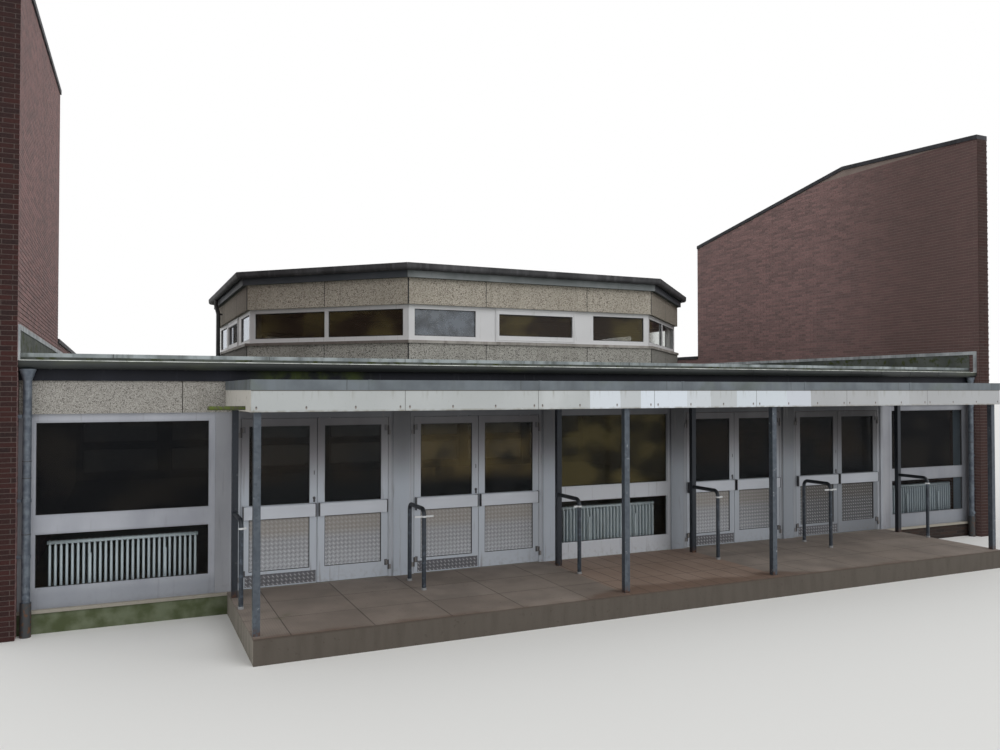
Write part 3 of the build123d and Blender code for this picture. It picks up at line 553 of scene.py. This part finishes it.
def anodised(name, plain, dull, low, darker):
    """Anodised aluminium with rain runs and dirt. Under the canopy it has the tone low below eye
    height, painted light, and painted shade from the canopy over it, and darker says where else
    painted shade falls there. To the right of the canopy it has painted shade all over."""
    made = Finish(name, plain)
    made.coat(made.cloud(0.5, 5, 2).rise(0.3, 0.7), dull)
    under_canopy = abs(made.x).rise(canopy_cover + 0.1, canopy_cover - 0.1) * (made.y < 0)
    made.coat(under_canopy * made.z.rise(2.3, 1.5), low)
    for share in (made.z.rise(1.65, 2.6) * 0.7, darker(made.x)):
        made.coat(under_canopy * share, painted_shade)
    made.coat(made.x.rise(canopy_cover + 0.1, canopy_cover + 0.4) * (made.y < 0) * 0.38, painted_shade)
    made.coat(made.cloud(0.05, 4, 14).rise(0.58, 0.8) * 0.5, (116, 112, 112))
    made.coat(made.z.rise(0.55, 0.3) * made.cloud(0.06, 5).rise(0.45, 0.75) * 0.25, (120, 110, 100))
    return made


def brushed(made, metallic=0.25):
    """Close a finish as satin metal, with the fine upright scratches of the brushing."""
    scratches = made.cloud(0.004, 2, 60)
    rough = made.cloud(0.5, 5, 2) * 0.2 + scratches * 0.1 + 0.38
    return made.surface(rough, metallic, height=scratches, depth=0.0004)


def hinge_steel(made, colour):
    """Steel of the hinges, with painted shade above eye height like the aluminium round them."""
    return made.mix(made.z.rise(1.65, 2.6) * 0.6, colour, painted_shade)


frames = anodised("frame_aluminium", (172, 175, 183), (156, 159, 168), (208, 212, 219),
                  lambda x: x.rise(0.6, 1.2) * 0.35)
low_dirt = frames.z.rise(0.62, 0.45) * (frames.y < 0) * (abs(frames.x) > 3)
frames.coat(low_dirt * 0.6, (132, 137, 145))
aluminium = brushed(frames)
dress(aluminium, "window_frames", "door_heads")
dress(brushed(anodised("pier_aluminium", (154, 156, 162), (138, 140, 147), (188, 196, 207),
                       lambda x: x.rise(-0.5, 1.4) * 0.35)), "facade_piers")
jambs = anodised("jamb_aluminium", (170, 170, 175), (152, 152, 157), (190, 196, 205),
                 lambda x: x.rise(-0.5, 1.4) * 0.3)
door_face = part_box("door_jambs")[0].y + 0.021
jambs.coat(jambs.y < door_face - 0.0105, hinge_steel(jambs, (136, 133, 132)))
jambs.coat(jambs.y < door_face - 0.0135, hinge_steel(jambs, (66, 63, 64)))
dress(brushed(jambs), "door_jambs")

rubber = Finish("gasket_rubber", (22, 22, 23))
rubber.coat(rubber.cloud(0.2), (40, 40, 40))
gasket_rubber = rubber.surface(0.6)


def boxes(low, high):
    """Upright boxes between rows of lowest and highest corners."""
    low, high = np.atleast_2d(low), np.atleast_2d(high)
    taken = np.array([[corner & 1, corner >> 1 & 1, corner >> 2] for corner in range(8)])
    sides = [[0, 2, 3, 1], [4, 5, 7, 6], [0, 1, 5, 4], [2, 6, 7, 3], [0, 4, 6, 2], [1, 3, 7, 5]]
    return copies(np.where(taken == 1, high[:, None], low[:, None]), sides)


def border(low, high, width, front, back):
    """Four strips inside an upright opening in the front, from y front to y back."""
    (x0, _, z0), (x1, _, z1) = low, high
    front, back = sorted((front, back))
    left, right, bottom, top = x0 + width, x1 - width, z0 + width, z1 - width
    return boxes(
        [[x0, front, z0], [x0, front, top], [x0, front, bottom], [right, front, bottom]],
        [[x1, back, bottom], [x1, back, z1], [left, back, top], [x1, back, top]],
    )


floor_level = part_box("floor_slab")[1].z
glass_low, glass_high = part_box("window_glass")
window_low, window_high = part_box("window_frames")
bay = 2.53
front_windows = [bay * step for step in (-3, 0, 3)]
rear_windows = [bay * step for step in range(-3, 4)]
pane_half = glass_high.x - 3 * bay
pane_rows = (0.25, 0.96), (1.17, 2.38)
pane_inset, glass_half = 0.035, 0.006
bead_width, bead_inset = 0.018, 0.008
gasket_width = gasket_proud = 0.007
beads, gaskets = [], []
for places, face, hand in ((front_windows, window_low.y, 1), (rear_windows, window_high.y, -1)):
    pane_y = face + hand * (pane_inset - glass_half)
    for x in places:
        for low, high in pane_rows:
            corners = np.array([[x - pane_half, 0, low], [x + pane_half, 0, high]])
            corners[:, 2] += floor_level
            beads.append(border(*corners, bead_width, face + hand * bead_inset, pane_y))
            corners += [[bead_width], [-bead_width]]
            gaskets.append(border(*corners, gasket_width, pane_y - hand * gasket_proud, pane_y))
add_piece("window_beads", beads, aluminium)
add_piece("window_gaskets", gaskets, gasket_rubber)


def glazing(name, film, tint, gleam):
    """Glass: partly seen through, partly dark from the room behind, and a shine of 0.04 + 0.96 f^5,
    where f goes from 0 seen square on to 1 seen edge on. film gives the dark share of one face of
    the pane, tint the dark's colour, and gleam how much of the shine is kept."""
    made = Finish(name)
    clear = made.node("BsdfTransparent", {"Color": (252, 253, 252)})
    dark = {"Base Color": tint(made), "Roughness": 0.5, "Specular IOR Level": 0.05}
    seen = made.node("MixShader", {0: film(made), 1: clear, 2: made.node("BsdfPrincipled", dark)})
    facing = made.node("LayerWeight", {"Blend": 0.5}, output=1)
    edge = (facing.power(5) * 0.96 + 0.04) * gleam(made)
    gloss = made.node("BsdfGlossy", {"Color": (232, 238, 246), "Roughness": 0.03})
    return made.close(made.node("MixShader", {0: edge, 1: seen, 2: gloss}))


def hall_film(made):
    """Clear in the lower panes and before the right corner's lining, and dark at the rear."""
    upper = made.z.rise(floor_level + 1.0, floor_level + 1.1)
    lined = made.x.rise(8.27, 8.29) * 0.8
    return (upper * (1 - lined) * 0.67 + 0.03) * (made.y < 0) + (made.y > 0) * 0.8


def hall_tint(made):
    """Nearly black, and olive in the middle window."""
    smear = made.cloud(0.8, 3, 0.6).rise(0.4, 0.62)
    middle = abs(made.x).rise(2.0, 1.5) * (made.y < 0)
    deep = made.mix(middle, (12, 13, 16), (54, 51, 41))
    return made.mix(smear, deep, made.mix(middle, (30, 28, 26), (106, 97, 64)))


dress(glazing("hall_glass", hall_film, hall_tint, lambda made: 0.1), "window_glass")

lining = Finish("lining_paint", (196, 212, 232))
lining.coat(lining.cloud(0.4, 4), (178, 194, 214))
inner_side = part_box("party_wall_right")[0].x
lining_front, lining_back = glass_low.y + 0.09, glass_low.y + 0.31
lining_thickness, lining_height = 0.04, 2.5
add_piece("hall_corner_linings", [boxes(
    [[x, lining_front, floor_level] for x in (-inner_side, inner_side - lining_thickness)],
    [[x, lining_back, floor_level + lining_height] for x in (lining_thickness - inner_side, inner_side)],
)], lining.surface(0.7))

# Radiators behind the lower panes: cast columns with round shoulders on two header pipes, with feet
# and two feed pipes in front, painted pale blue-grey, with painted shade on those in the right window.
radiator_low, radiator_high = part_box("radiators")
radiator_y = (radiator_low.y + radiator_high.y) / 2
column_low, column_high = floor_level + 0.12, radiator_high.z
column_count, column_pitch = 28, 0.066
column_half = 0.017, 0.045
header_inset, header_radius = 0.035, 0.024
foot_inset, foot_radius, foot_top = 0.1, 0.018, column_low + 0.03
feed_offsets, feed_radius = (-0.42, 0.5), 0.019
feed_y, feed_top = radiator_y - column_half[1] - 0.022, column_high - 0.19


def radiator_columns(middles):
    """Columns as rings: cos^0.7 wide and sin^0.7 deep round the middle, drawn in towards both ends
    by the fourth root of 1 - level^10, where level goes from -1 at the foot to 1 at the top."""
    turn = np.linspace(0, 2 * np.pi, 12, endpoint=False)
    level = np.linspace(-1, 1, 9)[:, None]
    spread = (1 - np.abs(level) ** 10) ** 0.25 * 0.75 + 0.25
    rings = np.empty((len(middles), len(level), len(turn), 3))
    for axis, bend in enumerate((np.cos(turn), np.sin(turn))):
        rings[..., axis] = column_half[axis] * spread * np.sign(bend) * np.abs(bend) ** 0.7
    rings[..., 0] += middles[:, None, None]
    rings[..., 1] += radiator_y
    rings[..., 2] = (column_low + column_high) / 2 + level * (column_high - column_low) / 2
    return rings_to_mesh(rings)


def upright(x, y, low, high, radius):
    """An upright round bar."""
    return round_bar((x, y, low), (x, y, high), radius)


column_offsets = (np.arange(column_count) - (column_count - 1) / 2) * column_pitch
radiator_half = column_count * column_pitch / 2
radiator_pipes = []
for x in front_windows:
    for height in (column_low + header_inset, column_high - header_inset):
        ends = (x - radiator_half, radiator_y, height), (x + radiator_half, radiator_y, height)
        radiator_pipes.append(round_bar(*ends, header_radius, 14))
    for offset in (foot_inset - radiator_half, radiator_half - foot_inset):
        radiator_pipes.append(upright(x + offset, radiator_y, floor_level, foot_top, foot_radius))
for x in front_windows:
    for offset in feed_offsets:
        radiator_pipes.append(upright(x + offset, feed_y, floor_level, feed_top, feed_radius))
enamel = Finish("radiator_enamel", (212, 222, 230))
enamel.coat(enamel.cloud(0.3, 4), (196, 207, 215))
# Painted shade: the radiators in the right window are darker.
enamel.coat(enamel.x.rise(3, 5) * 0.75, (122, 131, 140))
enamel.coat((enamel.z - column_low).rise(0.06, 0.0) * 0.5, (120, 118, 108))
columns = radiator_columns(np.add.outer(front_windows, column_offsets).ravel())
radiator = add_piece("radiator_columns", [columns, *radiator_pipes], enamel.surface(0.35))
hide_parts("radiators")
for polygon in radiator.data.polygons:
    polygon.use_smooth = len(polygon.vertices) == 4

# Doors: aluminium leaves with tread plate below the lock rail and a wide push plate with dark end
# caps. Each left leaf has a kick plate too, and a cylinder lock over the end of its push plate.
leaf_stile, leaf_depth = 0.105, 0.05
tread_rows = 0.23, 0.96
kick_rows = 0.025, 0.19
push_rows = 0.9675, 1.1475
push_out, push_inset, push_end, push_over = 0.052, 0.03, 0.014, 0.006
lock_inset, lock_height, lock_radius, lock_depth = 0.04, 1.225, 0.022, 0.012
lock_plates = (0.014, (1.165, 1.24), 0.006), (0.006, (1.56, 1.62), 0.002)
hinge_reach, hinge_half, hinge_out = (0.012, 0.054), 0.043, 0.007
strip_height = 2.475
tread_pitch, tread_height = 0.06, 0.0025
tread_half_length, tread_half_width = 0.026, 0.0052
leaves = [f"door_{number}_{hand_name}" for number in range(1, 5) for hand_name in ("left", "right")]


def treads(x_range, z_range, y, lean):
    """Bars of tread plate that lean one way, 45 degrees to the left or right. The area is cut into
    square cells, and bar (i, j) lies a quarter of a cell below the middle of cell (i, j) and to the
    left of it where it leans left, and above and to the right where it leans right. Its foot is a
    lozenge, and its flat top is 0.6 times as large."""
    x_count, z_count = (max(1, round((end - start) / tread_pitch)) for start, end in (x_range, z_range))
    i, j = (grid.ravel()[:, None] for grid in np.meshgrid(np.arange(x_count), np.arange(z_count)))
    turn = lean * np.pi / 4
    foot = np.array([
        [tread_half_length, 0], [0, tread_half_width], [-tread_half_length, 0], [0, -tread_half_width],
    ])
    u, v = np.concatenate([foot, foot * 0.6]).T
    points = np.empty((len(i), 8, 3))
    points[..., 0] = x_range[0] + (i + 0.5 + lean / 4) * (x_range[1] - x_range[0]) / x_count
    points[..., 1] = y - np.repeat([0, tread_height], 4)
    points[..., 2] = z_range[0] + (j + 0.5 + lean / 4) * (z_range[1] - z_range[0]) / z_count
    points[..., 0] += u * np.cos(turn) - v * np.sin(turn)
    points[..., 2] += u * np.sin(turn) + v * np.cos(turn)
    return copies(points, [[4, 5, 6, 7], [0, 1, 5, 4], [1, 2, 6, 5], [2, 3, 7, 6], [3, 0, 4, 7]])


leaf = anodised("leaf_aluminium", (176, 176, 182), (160, 158, 164), (197, 204, 214),
                lambda x: x.rise(-2.5, 1) * 0.18 + x.rise(3, 5.8) * 0.42)
pane_low, pane_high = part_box("door_1_left_glass")
door_y = (pane_low.y + pane_high.y) / 2 - leaf_depth / 2
on_plate = (leaf.y < door_y - 0.035) * (leaf.z > floor_level + 0.9) * (leaf.z < floor_level + 1.2)
plate = leaf.mix(leaf.cloud(0.2, 4, wide=3), (222, 227, 236), (200, 205, 214))
# Painted shade: the push plates darken towards the right.
leaf.coat(on_plate, leaf.mix(leaf.x.rise(1, 5) * 0.25, plate, painted_shade))
on_sheet = (leaf.y > door_y + 0.011) * (leaf.z > floor_level + tread_rows[0])
on_sheet = on_sheet * (leaf.z < floor_level + tread_rows[1])
sheet = leaf.mix(leaf.z.rise(floor_level + 0.6, floor_level + 0.8), (170, 172, 177), (164, 160, 156))
sheet = leaf.mix(leaf.z.rise(0.9, 0.55) * 0.5, sheet, (192, 197, 204))
# Painted shade: the sheet below the lock rail darkens towards the right.
leaf.coat(on_sheet, leaf.mix(leaf.x.rise(1.5, 5) * 0.76, sheet, painted_shade))
leaf.coat((leaf.y < door_y - 0.001) * (leaf.z < floor_level + 0.2), (116, 117, 122))
on_hinge = (leaf.y < door_y - 0.0104) * (1 - on_plate)
leaf.coat(on_hinge, hinge_steel(leaf, (128, 125, 124)))
leaf.coat(on_hinge * (leaf.y < door_y - 0.013), (52, 49, 50))
dress(brushed(leaf, 0.3), *(f"{body}_leaf" for body in leaves))


def door_tint(made):
    """Cool and dark at the foot, with a warm band over it, warmest in the second pair from the left."""
    above = made.z.rise(floor_level + 1.3, floor_level + 1.6)
    below = made.z.rise(floor_level + 2.4, floor_level + 1.9)
    band = above * below * made.cloud(0.6, 3).rise(0.3, 0.6)
    second = made.x.rise(-3.9, -3.7) * made.x.rise(-1.3, -1.5)
    warm = made.mix(second, (52, 46, 40), (122, 107, 74))
    return made.mix(band, (32, 35, 38), warm)


dress(glazing("door_glass", lambda made: 0.55, door_tint, lambda made: 0.12),
      *(f"{body}_glass" for body in leaves))


def tread_finish(name, bright, kick_bright, dim):
    """Bars of tread plate in the tone bright, which is painted light, and duller on the kick plates
    near the floor. To the right they have painted shade, by the share dim."""
    made = Finish(name, bright)
    worn = made.cloud(0.25, 5)
    made.coat(worn.rise(0.3, 0.7) * 0.3, (158, 158, 160))
    made.coat(made.z.rise(floor_level + 0.5, floor_level + 0.9) * 0.5, (150, 146, 142))
    made.coat(made.z.rise(floor_level + 0.2, floor_level + 0.19), kick_bright)
    made.coat(made.x.rise(1.5, 5) * dim, painted_shade)
    return made.surface(0.35, 0.3, height=worn, depth=0.0005)


# Painted light: bars that lean left carry a painted highlight, and bars that lean right a darker painted
# shade.
tread_metals = {
    -1: tread_finish("tread_painted_highlight", (236, 238, 242), (212, 213, 218), 0.1),
    1: tread_finish("tread_painted_shade", (96, 95, 98), (64, 64, 69), 0.7),
}
hinge_heights = 0.215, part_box("door_1_left_leaf")[1].z - floor_level - 0.154
door_gasket = 0.009
tread_levels, kick_levels = ([floor_level + z for z in rows] for rows in (tread_rows, kick_rows))


def front_box(x, rows, out):
    """A box on a leaf's face between two x and two heights over the floor, as far out as out."""
    low, high = zip(sorted(x), [floor_level + height for height in rows])
    return boxes([low[0], door_y - out, low[1]], [high[0], door_y, high[1]])


for body in leaves:
    hand = -1 if body.endswith("left") else 1
    low, high = (np.array(corner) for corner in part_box(f"{body}_glass"))
    left, right = low[0] - leaf_stile, high[0] + leaf_stile
    for lean, lean_name in ((-1, "left_leaning"), (1, "right_leaning")):
        shapes = [treads((low[0], high[0]), tread_levels, door_y + 0.013, lean)]
        if hand < 0:
            shapes.append(treads((left + 0.055, right - 0.018), kick_levels, door_y - 0.003, lean))
        add_piece(f"{body}_{lean_name}_treads", shapes, tread_metals[lean], body, closed=False)
    pane_y = door_y + leaf_depth / 2 - glass_half
    panel = [low[0], 0, tread_levels[0]], [high[0], 0, tread_levels[1]]
    add_piece(f"{body}_gaskets", [
        border(low, high, door_gasket, pane_y - 0.007, pane_y),
        border(*panel, door_gasket, door_y + 0.004, door_y + 0.013),
    ], gasket_rubber, body)
    fittings = []
    for end, side in ((left + push_inset, -1), (right - push_inset, 1)):
        rows = push_rows[0] - push_over, push_rows[1] + push_over
        fittings.append(front_box((end, end + side * push_end), rows, push_out + 0.002))
    if hand < 0:
        lock_x = right - lock_inset
        fittings.append(dome((lock_x, door_y, floor_level + lock_height), lock_radius, lock_depth))
        for half, rows, out in lock_plates:
            fittings.append(front_box((lock_x - half, lock_x + half), rows, out))
    pin = left if hand < 0 else right
    for height in hinge_heights:
        rows = height - hinge_half, height + hinge_half
        fittings.append(front_box([pin - hand * reach for reach in hinge_reach], rows, hinge_out))
    add_piece(f"{body}_fittings", fittings, fitting_metal, body)

set_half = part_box("door_jambs")[1].x - 2 * bay
strips = []
for step in (-2, -1, 1, 2):
    for hand in (-1, 1):
        for near, wide, proud in ((0.0, 0.012, 0.01), (0.02, 0.006, 0.004)):
            edge = bay * step + hand * (set_half - near)
            strips.append(front_box((edge, edge - hand * wide), (0, strip_height), proud))
add_piece("jamb_strips", strips, aluminium)

# Canopy: galvanised square posts and beams, a boarded deck, painted boards 1.81 m long round the
# edge, screwed on along their lower edge, and a zinc cap over them.
post_low, post_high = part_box("canopy_posts")
steel = Finish("galvanised_steel", (71, 78, 87))
spangle = steel.pick(0.035)
steel.coat(spangle * 0.6, (98, 106, 114))
steel.coat(steel.cloud(0.16, 5, 3).rise(0.52, 0.7) * 0.7, (62, 67, 75))
steel.coat(steel.cloud(0.05, 4).rise(0.66, 0.76) * 0.6, (186, 190, 194))
# Painted shade: the rear posts and beams are darker.
steel.coat(steel.y.rise(post_low.y + 0.3, post_high.y - 0.3) * 0.8, (36, 39, 46))
steel_rust = (steel.z - floor_level).rise(0.12, 0.0) * steel.cloud(0.03, 4).rise(0.4, 0.6)
steel.coat(steel_rust * 0.8, (96, 66, 48))
galvanised = steel.surface(spangle * 0.2 + 0.35, 0.45, height=spangle, depth=0.0005)
dress(galvanised, "canopy_posts", "canopy_beams")

fascia_low, fascia_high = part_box("canopy_fascia")
cap_low, cap_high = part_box("canopy_flashing")
board_count = 7
board_length = (fascia_high.x - fascia_low.x) / board_count
screw_offsets = 0.06, 0.62, 1.2, board_length - 0.06
screw_height, screw_radius, screw_rise = fascia_low.z + 0.055, 0.008, 0.003
painted_patches = (
    (-1.94, -1.46, (209, 216, 223)), (-1.46, -1.13, (186, 190, 192)),
    (-1.13, -0.35, (215, 223, 232)), (0.07, 0.54, (183, 187, 189)),
    (0.54, 1.49, (203, 211, 218)), (1.49, 1.97, (198, 203, 212)), (3.4, 4.1, (178, 181, 184)),
)
board = Finish("board_paint", (190, 194, 195))
from_end = board.x - fascia_low.x
board_place = from_end % board_length
board.coat(board.cloud(0.9, 5).rise(0.3, 0.7), (172, 176, 176))
board.coat(board.chance(from_end // board_length) * 0.4, (190, 194, 195))
board.coat(board.x.rise(-2.6, -2.7) * 0.5, (168, 172, 172))
board.coat((board.x > -1.94) * (board.x < 1.97) * 0.6, (212, 219, 227))
board.coat((board.x > 1.97) * 0.7, (161, 162, 165))
for start, end, shade in painted_patches:
    board.coat((board.x > start) * (board.x < end) * 0.85, shade)
runs = board.cloud(0.05, 5, 8).rise(0.52, 0.8) * (board.z - fascia_high.z).rise(-0.16, 0.0)
board.coat(runs * 0.5, (120, 116, 98))
board.coat(board.cloud(0.018, 3).rise(0.68, 0.76) * 0.5, (118, 112, 98))
low_edge = (board.z - fascia_low.z).rise(0.03, 0.0) * board.cloud(0.1, 4).rise(0.3, 0.7)
board.coat(low_edge * 0.7, (120, 114, 96))
below_screw = board.z - screw_height + 0.008
for offset in screw_offsets:
    beside = board_place - offset
    rust = (beside * beside + below_screw * below_screw * 0.35).rise(0.00025, 0.00003)
    board.coat(rust * 0.7, (112, 92, 74))
gap = from_end.lines(board_length, 0.004, 0.002)
board.coat(gap * 0.85, (66, 62, 54))
# Painted shadow: a dark band on the boards just under the cap's lower edge.
board.coat((board.z - cap_low.z).rise(-0.014, -0.008) * 0.8, (72, 68, 60))
# Painted light: the left end face of the boards is paler.
board.coat(board.x < fascia_low.x + 0.003, (204, 201, 193))
board.coat(from_end.rise(0.06, 0.02) * board.cloud(0.1, 5).rise(0.55, 0.75) * 0.5, (96, 100, 62))
dress(board.surface(0.6, height=board.cloud(0.03, 4) * 0.3 - gap, depth=0.003), "canopy_fascia")

deck = Finish("deck_boards", (168, 164, 154))
deck_gap = deck.y.lines(0.12, 0.003, 0.001)
deck.coat(deck.cloud(0.4, 5, wide=4), (142, 138, 128))
deck.coat(deck_gap, (60, 56, 50))
deck_felt = deck.mix(deck.cloud(0.5, 5).rise(0.3, 0.7), (84, 88, 85), (104, 108, 104))
deck.coat(deck.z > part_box("canopy_deck")[1].z - 0.004, deck_felt)
dress(deck.surface(0.7, height=1 - deck_gap, depth=0.003), "canopy_deck")

cap_length, first_seam = 2.27, -4.96
seam_half, seam_out, seam_rise = 0.018, 0.004, 0.003
cap = sheet_metal("cap_zinc", (107, 115, 121), (93, 100, 106), (80, 84, 84), 0.5, 0.15, cap_length,
                  0.25, 0.25)
dress(cap, "canopy_flashing")
seams = np.arange(first_seam, cap_high.x, cap_length)
add_piece("cap_seams", [boxes(
    [[x - seam_half, cap_low.y - seam_out, cap_low.z] for x in seams],
    [[x + seam_half, cap_low.y + 0.03, cap_high.z + seam_rise] for x in seams],
)], cap)
screw_places = (
    fascia_low.x + number * board_length + offset
    for number in range(board_count) for offset in screw_offsets
)
add_piece("board_screws", (
    dome((x, fascia_low.y, screw_height), screw_radius, screw_rise) for x in screw_places
), fitting_metal)

spout = Finish("spout_moss", (78, 76, 62))
spout.coat(spout.cloud(0.03, 5).rise(0.35, 0.6), (84, 98, 34))
dress(spout.surface(0.85, height=spout.cloud(0.008, 4), depth=0.004), "drain_spout")

# Guard rails: bent steel tube painted nearly black, rubbed bare on the legs, in bright foot
# collars. The catches clamped on them are white.
rail = Finish("guard_rail_paint", (50, 57, 66))
rail_height = rail.z - floor_level
rail.coat(rail.cloud(0.06, 5).rise(0.5, 0.72), (84, 94, 106))
rail.coat(rail_height.rise(1.0, 1.12) * 0.7, (26, 27, 30))
rail.coat(rail_height.rise(0.033, 0.03), (150, 152, 154))
dress(rail.surface(rail.cloud(0.05) * 0.2 + 0.32, 0.2), "guard_rails")
catch = Finish("catch_white", (226, 228, 230))
catch.coat(catch.cloud(0.05, 3), (196, 198, 200))
dress(catch.surface(0.35), "door_catches")

# Lantern: an eight-sided ring of beams and aggregate panels, white frames with sealed panes, a
# sheet metal board and a dark gutter round its flat roof.
lantern_low, lantern_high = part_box("lantern_upper_panels")
lantern_half = lantern_high.x
lantern_cut = 2.59


def flank_shade(made):
    """The left face and the faces to the right of the front are darker."""
    left = made.x < 0.02 - lantern_half
    return left.most(made.x > lantern_half - lantern_cut + 0.02) * 0.5


dress(aggregate("lantern_aggregate", (226, 219, 205), (184, 177, 163), (92, 82, 72),
                (148, 141, 127), dim=flank_shade), "lantern_upper_panels")
dress(aggregate("curb_aggregate", (216, 214, 206), (176, 174, 166), (80, 78, 74),
                (126, 124, 116), dim=flank_shade), "lantern_lower_panels")
dress(sheet_metal("sill_metal", (168, 164, 158), (142, 138, 132), (92, 82, 76), 0.5, 0.1, 2.7),
      "lantern_sill")
dress(sheet_metal("lantern_gutter_metal", (74, 74, 76), (60, 60, 62), (100, 100, 102), 0.55, 0.0,
                  2.7, shine=0.2), "lantern_gutter", "lantern_downpipe")
lead = Finish("lantern_board_metal", (138, 143, 144))
lead.coat(lead.cloud(0.5, 5).rise(0.35, 0.65), (120, 125, 126))
# Painted shade: the board is darker on the faces between the front and the back.
lead.coat((abs(lead.y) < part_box("lantern_eaves_board")[1].y - 0.01) * 0.8, (58, 62, 70))
lead.coat(lead.cloud(0.05, 4, 6).rise(0.55, 0.8) * 0.3, (84, 88, 88))
dress(lead.surface(0.6, height=lead.cloud(0.4), depth=0.003, shine=0.15), "lantern_eaves_board")
white = Finish("lantern_frame_white", (222, 223, 224))
white.coat(white.cloud(0.5, 4), (204, 204, 206))
white.coat(white.cloud(0.05, 5, 8).rise(0.58, 0.8) * 0.5, (160, 156, 148))
frame_white = white.surface(0.4, height=white.cloud(0.2), depth=0.0005)
dress(frame_white, "lantern_frames", "lantern_posts")

recess = 0.075
pane_depth = recess + pane_inset - glass_half
corner_width, infill, sash, sash_border, mullion = 0.15, 0.42, 1.82, 0.08, 0.08
sash_inset, sash_over, sash_proud = 0.028, 0.01, 0.023
pane_foot, pane_head = floor_level + 3.815, floor_level + 4.325
centre_panel = 2.28
seal_half, seal_inset = 0.007, 0.004


def on_face(shape, turn, distance):
    """Turn a shape drawn for a face on the y axis, x along it and y inward, to that face."""
    points, faces = shape
    turn = math.radians(turn)
    out = np.array([math.cos(turn), math.sin(turn)])
    along = np.array([-out[1], out[0]])
    plan = points[:, :1] * along + (distance - points[:, 1:2]) * out
    return np.column_stack([plan, points[:, 2]]), faces


straight, diagonal = 2 * (lantern_half - lantern_cut), lantern_cut * math.sqrt(2)
wide_pane = (straight - 2 * corner_width - 2 * infill - sash) / 2
wide_offset = (sash + wide_pane) / 2 + infill
corner_pane = (diagonal - 2 * corner_width - mullion) / 2
corner_offset = (corner_pane + mullion) / 2
lantern_faces = (
    (straight, lantern_half, (-centre_panel / 2, centre_panel / 2),
     ((-wide_offset, wide_pane, 0), (0, sash, sash_border), (wide_offset, wide_pane, 0))),
    (diagonal, (2 * lantern_half - lantern_cut) / math.sqrt(2), (0,),
     ((-corner_offset, corner_pane, 0), (corner_offset, corner_pane, 0))),
)
seal_rows = [
    (low.z + seal_inset, high.z - seal_inset)
    for low, high in (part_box("lantern_lower_panels"), (lantern_low, lantern_high))
]
pane_beads, pane_gaskets, seals = [], [], []
for number in range(8):
    length, distance, joints, panes = lantern_faces[number % 2]
    place = {"turn": 45 * number, "distance": distance}
    joints += (seal_half - length / 2, length / 2 - seal_half)
    for low, high in seal_rows:
        strips = boxes([[x - seal_half, -0.001, low] for x in joints],
                       [[x + seal_half, 0.004, high] for x in joints])
        seals.append(on_face(strips, **place))
    for middle, wide, edge in panes:
        low = (middle - wide / 2 + edge, 0, pane_foot + edge / 2)
        high = (middle + wide / 2 - edge, 0, pane_head - edge / 2)
        gasket = border(low, high, 0.012, pane_depth - 0.008, pane_depth)
        pane_gaskets.append(on_face(gasket, **place))
        if edge:
            low = (middle - wide / 2 + sash_inset, 0, pane_foot - edge / 2 - sash_over)
            high = (middle + wide / 2 - sash_inset, 0, pane_head + edge / 2 + sash_over)
            bead = border(low, high, bead_width, recess - sash_proud, recess - 0.015)
            pane_beads.append(on_face(bead, **place))
add_piece("lantern_gaskets", pane_gaskets, gasket_rubber)
add_piece("lantern_panel_seals", seals, gasket_rubber)
add_piece("lantern_sash_beads", pane_beads, frame_white)
pane_reach = lantern_half - recess - 0.055


def first_pane(made):
    """1 on the first pane of the front."""
    return (made.y < -pane_reach) * (made.x < -1.3)


def lantern_tint(made):
    """Brown and olive, and a pale grey painted reflection in the first pane of the front."""
    smear = made.cloud(0.8, 3, 0.6).rise(0.4, 0.62)
    room = made.mix(smear, (56, 46, 37), (92, 82, 54))
    painted_reflection = made.mix(made.cloud(0.25, 5).rise(0.35, 0.7), (142, 150, 160), (84, 88, 92))
    return made.mix(first_pane(made) * 0.8, room, painted_reflection)


def lantern_film(made):
    """Clearer towards the right end."""
    return made.x.rise(2.6, 3.6) * -0.54 + 0.6


def lantern_gleam(made):
    """Dull, but bright on the left face and in the first pane of the front."""
    return first_pane(made).most(made.x < -pane_reach) * 0.9 + 0.25


dress(glazing("lantern_glazing", lantern_film, lantern_tint, lantern_gleam), "lantern_glass")

# Studio: a pale floor and a pale world, which the camera, metal and glass see as white, and one
# large soft lamp high on the right in front.
world_light = 0.8
studio_world = bpy.data.worlds.new("studio")
around = Nodes(studio_world)
camera_ray, glossy_ray, glass_ray = (
    around.node("LightPath", output=f"Is {kind} Ray") for kind in ("Camera", "Glossy", "Transmission")
)
seen_light = camera_ray.most(glossy_ray.most(glass_ray)) * (1 - world_light) + world_light
pale = around.node("Background", {"Color": (255, 255, 255), "Strength": seen_light})
around.node("OutputWorld", {"Surface": pale})
bpy.context.scene.world = studio_world
bpy.context.scene.view_settings.view_transform = "Standard"

floor_reach = 200
floor_corners = [(x * floor_reach, y * floor_reach, 0) for x, y in ((-1, -1), (1, -1), (1, 1), (-1, 1))]
pale_floor = Finish("studio_floor", (226, 226, 224)).surface(0.9)
solid("studio_floor", [(floor_corners, [(0, 1, 2, 3)])], pale_floor, closed=False)

lamp_data = bpy.data.lights.new("soft_lamp", "SUN")
lamp_data.energy = 0.9
lamp_data.angle = math.radians(40)
lamp = bpy.data.objects.new("soft_lamp", lamp_data)
lamp.rotation_euler = (math.radians(50), 0, math.radians(35))
bpy.context.scene.collection.objects.link(lamp)
